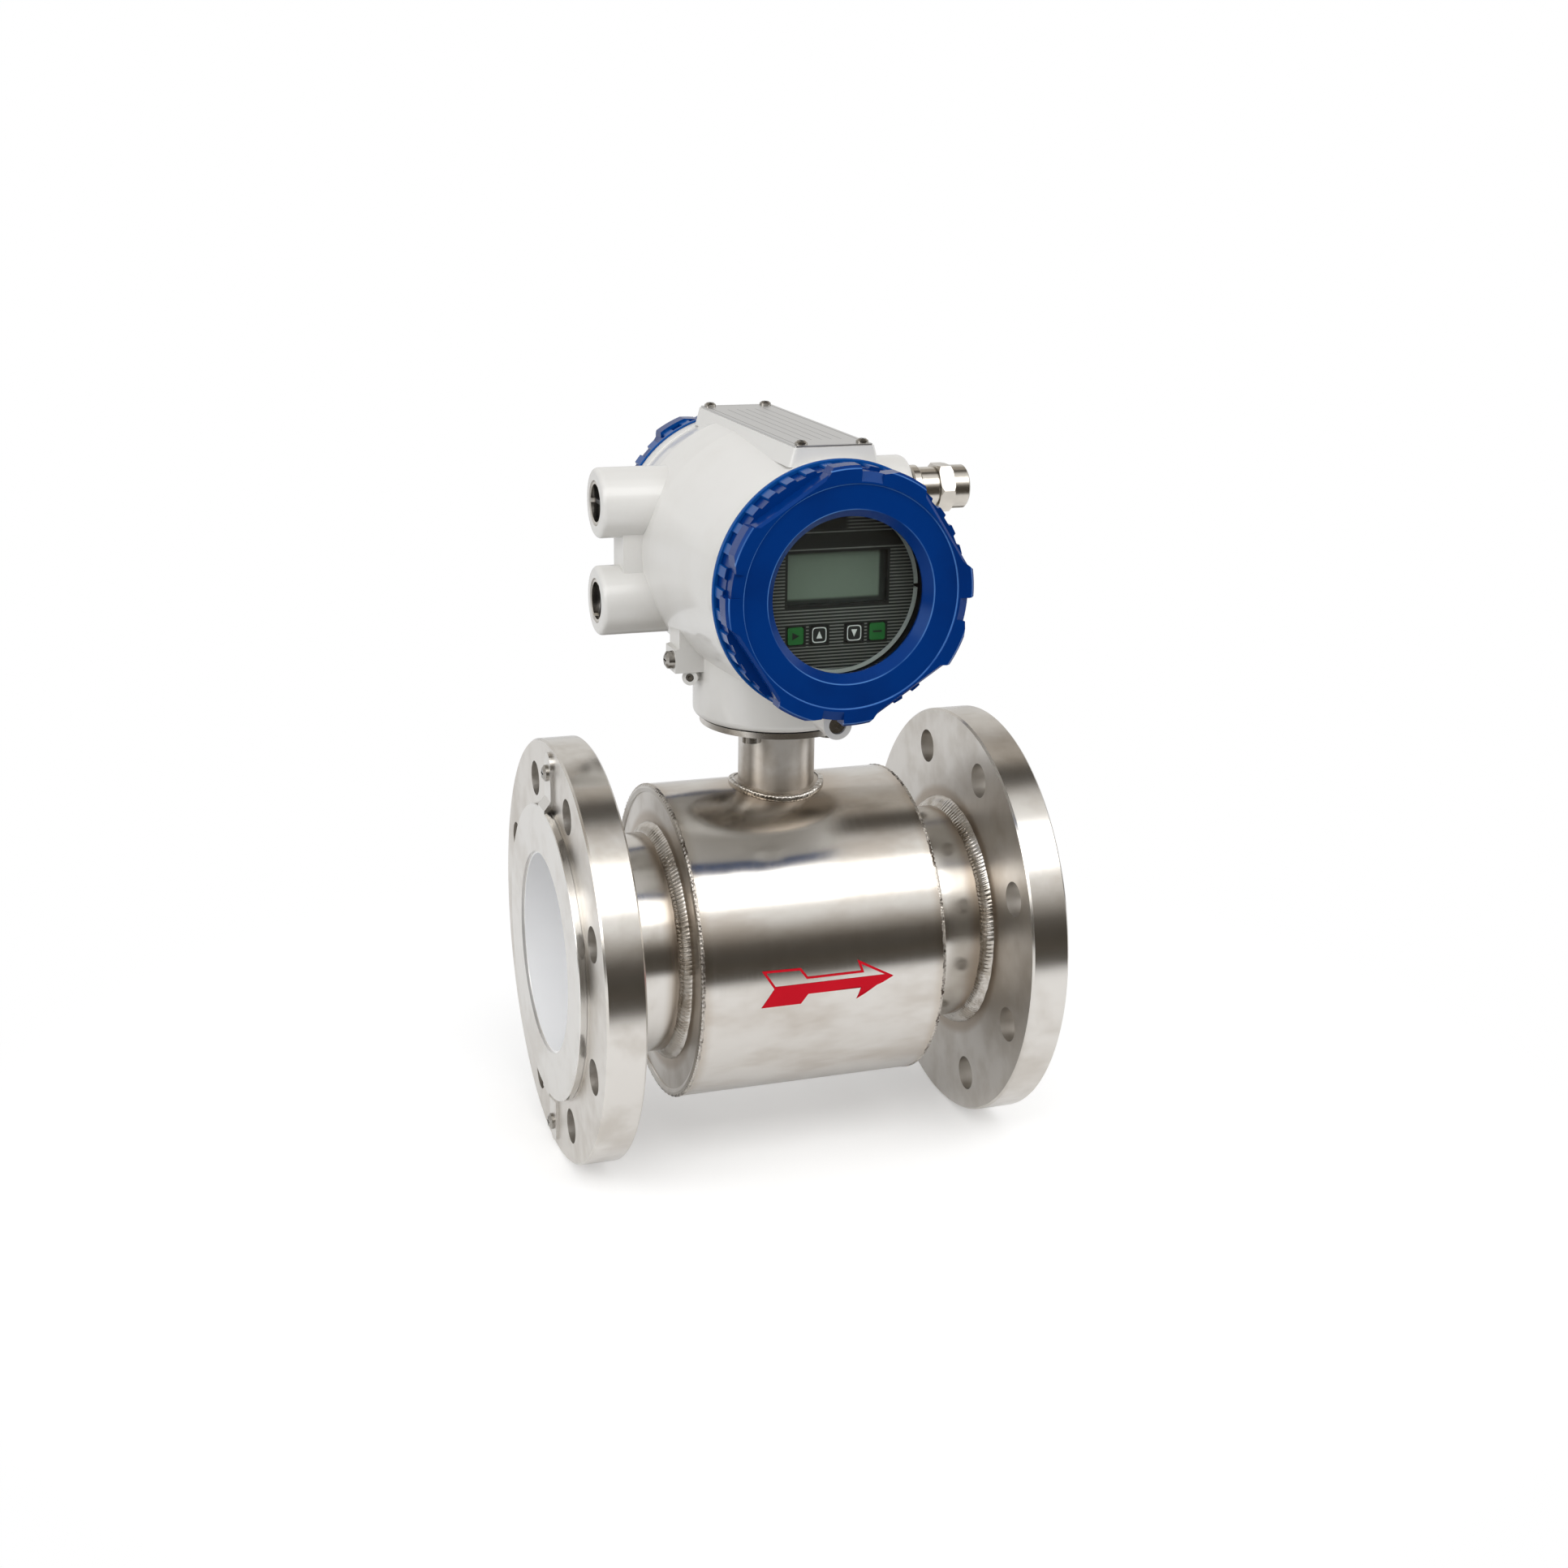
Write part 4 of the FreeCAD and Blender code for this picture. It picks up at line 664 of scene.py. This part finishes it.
def flat_mark(name, key, corners, finish):
    """A small flat printed shape on a key, a fan of rings shrinking from its outline to its
    middle."""
    corners = np.array(corners)
    centre = corners.mean(axis=0)
    flat = centre + (corners[None] - centre) * np.linspace(1, 0.0, 4)[:, None, None]
    surface(name, on_key(key, flat[..., 0], flat[..., 1]), finish, key, round_columns=True)


def frame_mark(key):
    """A thin frame on a key, between two rounded squares |x|^5 + |z|^5 = reach^5, with reach
    3.6 mm outside and 3.15 mm inside, and 4% taller than wide."""
    angle = np.linspace(0, 2 * math.pi, 64, endpoint=False)
    round_square = (np.abs(np.cos(angle)) ** 5 + np.abs(np.sin(angle)) ** 5) ** (-1 / 5)
    reach = np.array([0.0036, 0.00315])[:, None] * round_square[None]
    grid = on_key(key, reach * np.cos(angle), reach * np.sin(angle) * 1.04)
    surface(key + "_frame", grid, mark_white, key, round_columns=True)


def key_marks():
    """Plain marks on the keys: an arrow right and a bar on the green ones, and framed arrows up
    and down on the black ones."""
    right = [(-0.0017, -0.0018), (-0.0017, 0.0018), (0.0019, 0.0)]
    up = [(-0.0015, -0.0017), (0.0, 0.0019), (0.0015, -0.0017)]
    down = [(-0.0015, 0.0017), (0.0015, 0.0017), (0.0, -0.0019)]
    bar = [(-0.0023, -0.0004), (-0.0023, 0.0005), (0.0023, 0.0005), (0.0023, -0.0004)]
    flat_mark("menu_key_arrow", "menu_key", right, mark_black)
    flat_mark("up_key_arrow", "up_key", up, mark_white)
    flat_mark("down_key_arrow", "down_key", down, mark_white)
    flat_mark("enter_key_bar", "enter_key", bar, mark_black)
    frame_mark("up_key")
    frame_mark("down_key")


key_marks()


# ---- the camera, the floor and the lamps ----------------------------------------
camera_spot = (-0.23346, -1.01786, 0.41110)
camera_angles = (-19.38, 17.09, 0.95)     # heading, height above the horizon and roll, degrees
camera_lens, camera_sensor = 49.55, 36.0  # millimetres
floor_lift = 0.30                         # light added to the floor near the part, as seen
floor_sheen = 0.16                        # and as mirrored in metal
room_strength = 0.62                      # the surround's light on the part
# What metal mirrors, by the angle about the pipe: degrees from straight ahead over the top,
# level, and how white it is from 0 (warm) to 1.
mirrored_studio = (
    (0, 0.06, 0), (11, 0.10, 0), (20, 0.45, 0.5), (29, 1.0, 1), (76, 1.0, 1), (84, 0.66, 0.8),
    (91, 0.08, 0.1), (101, 0.07, 0), (110, 0.55, 0.4), (121, 0.46, 0.3), (131, 0.50, 0.6),
    (142, 0.82, 0.9), (160, 0.80, 0.9), (180, 0.76, 1))


def camera():
    """The viewing angle: position, heading, height above the horizon and roll."""
    azimuth, elevation, roll = map(math.radians, camera_angles)
    back = Vector((math.sin(azimuth) * math.cos(elevation),
                   -math.cos(azimuth) * math.cos(elevation), math.sin(elevation)))
    right = (-back).cross(Vector((0, 0, 1))).normalized()
    up = right.cross(-back)
    across = math.cos(roll) * right + math.sin(roll) * up
    upright = -math.sin(roll) * right + math.cos(roll) * up
    data = bpy.data.cameras.new("camera")
    data.lens, data.sensor_width = camera_lens, camera_sensor
    data.clip_end = 100.0
    made = bpy.data.objects.new("camera", data)
    bpy.context.scene.collection.objects.link(made)
    turned_to = Matrix((across, upright, back)).transposed().to_4x4()
    made.matrix_world = Matrix.Translation(camera_spot) @ turned_to
    bpy.context.scene.camera = made


def floor():
    """A wide pale floor under the flanges. It keeps the soft shadow and fades to white away from
    the part. Metal sees painted shade on it: a dark glow past a line in front, and a dark patch
    behind where the part's shadow falls. Less of its light comes back up onto the part."""
    half, level = 30.0, cad_low.z
    corners = [(-half, -half, level), (half, -half, level),
               (half, half, level), (-half, half, level)]
    mesh = bpy.data.meshes.new("floor")
    mesh.from_pydata(corners, [], [(0, 1, 2, 3)])
    made = bpy.data.objects.new("floor", mesh)
    bpy.context.scene.collection.objects.link(made)
    material, shader = shader_of("floor_white", (0.88, 0.88, 0.88), 0.0, 0.9)

    def glow(colour, strength):
        """Light of a colour and strength."""
        lamp_node = add(material, "ShaderNodeEmission", {"Color": colour, "Strength": strength})
        return lamp_node.outputs["Emission"]

    def added(first, second):
        """The sum of two shaders."""
        return add(material, "ShaderNodeAddShader", {0: first, 1: second}).outputs["Shader"]

    def mixed(share, first, second):
        """A mix of two shaders by a share."""
        node = add(material, "ShaderNodeMixShader", {"Fac": share, 1: first, 2: second})
        return node.outputs["Shader"]

    path = add(material, "ShaderNodeLightPath")
    x, y, _ = split_axes(material, place(material, shift=(-middle_x, 0, 0)))
    plain = shader.outputs["BSDF"]
    away = spread(material, length_of(material, x, y), 0.17, 0.46)
    seen = mixed(away, added(plain, glow(white, floor_lift)), glow(white, 1.0))
    # Painted shade in what metal mirrors: for glossy rays the floor is a dark glow past a line in
    # front and in a patch behind the part, where its shadow falls.
    painted_dark_front = spread(material, y, -0.36, -0.58)
    behind = both(material, within(material, y, 0.36, 0.14, 0.06),
                  spread(material, x, -0.16, -0.04), 0.85)
    dim = both(material, largest(material, painted_dark_front, behind), path.outputs["Is Glossy Ray"])
    dull = add(material, "ShaderNodeBsdfDiffuse", {"Color": (0.55, 0.55, 0.55, 1)})
    shone = added(plain, glow(white, floor_sheen))
    felt = mixed(path.outputs["Is Glossy Ray"], dull.outputs["BSDF"], shone)
    # The painted shade itself: a dim warm glow in place of the floor for those rays.
    felt = mixed(dim, felt, glow((0.075, 0.064, 0.05, 1), 1.0))
    tree = material.node_tree
    tree.links.new(mixed(path.outputs["Is Camera Ray"], felt, seen),
                   tree.nodes["Material Output"].inputs["Surface"])
    mesh.materials.append(material)


def world():
    """A plain pale surround: white to the eye and through glass. Metal sees a studio that
    changes with the angle about the pipe: dim behind the camera, white above it, a dim gap
    overhead and a pale wall behind."""
    made = bpy.data.worlds.new("studio")
    bpy.context.scene.world = made
    made.use_nodes = True
    made.node_tree.nodes.clear()
    path = add(made, "ShaderNodeLightPath")
    lit = add(made, "ShaderNodeBackground", {"Color": white, "Strength": room_strength})
    seen = add(made, "ShaderNodeBackground", {"Color": white, "Strength": 1.0})
    source = add(made, "ShaderNodeTexCoord")
    _, y, z = split_axes(made, source.outputs["Generated"])
    turn = maths(made, "ARCTAN2", z, maths(made, "MULTIPLY", y, -1.0))
    ramp = add(made, "ShaderNodeValToRGB", {"Fac": maths(made, "DIVIDE", turn, math.pi)})
    stops = ramp.color_ramp.elements
    while len(stops) < len(mirrored_studio):
        stops.new(0.5)
    for stop, (angle, level, whiteness) in zip(stops, mirrored_studio):
        stop.position = angle / 180
        stop.color = (level, level * (0.885 + 0.11 * whiteness),
                      level * (0.74 + 0.24 * whiteness), 1)
    mirrored = add(made, "ShaderNodeBackground", {"Color": ramp.outputs["Color"], "Strength": 1.0})
    felt = add(made, "ShaderNodeMixShader", {
        "Fac": path.outputs["Is Glossy Ray"],
        1: lit.outputs["Background"], 2: mirrored.outputs["Background"]})
    clear = largest(made, path.outputs["Is Camera Ray"], path.outputs["Is Transmission Ray"])
    last = add(made, "ShaderNodeMixShader", {
        "Fac": clear, 1: felt.outputs["Shader"], 2: seen.outputs["Background"]})
    add(made, "ShaderNodeOutputWorld", {"Surface": last.outputs["Shader"]})


def lamp(name, spot, aim, width, height, power):
    """A soft rectangular lamp at a spot, turned to an aim, its width along the pipe."""
    data = bpy.data.lights.new(name, "AREA")
    data.shape = "RECTANGLE"
    data.size, data.size_y = width, height
    data.energy = power
    made = bpy.data.objects.new(name, data)
    bpy.context.scene.collection.objects.link(made)
    made.location = spot
    made.rotation_euler = (Vector(aim) - Vector(spot)).to_track_quat("-Z", "Y").to_euler()


camera()
floor()
world()
centre = (cad_low + cad_high) / 2
lamp("front_strip", (middle_x, -1.03, 1.25), (middle_x, 0.0, 0.02), 3.2, 0.72, 15.5)
lamp("left_lamp", (middle_x - 1.6, -0.35, 0.66), centre, 0.9, 0.9, 6.0)
lamp("right_lamp", (middle_x + 1.6, -0.3, 0.5), centre, 0.8, 0.8, 3.0)

bpy.context.scene.view_settings.view_transform = "Standard"
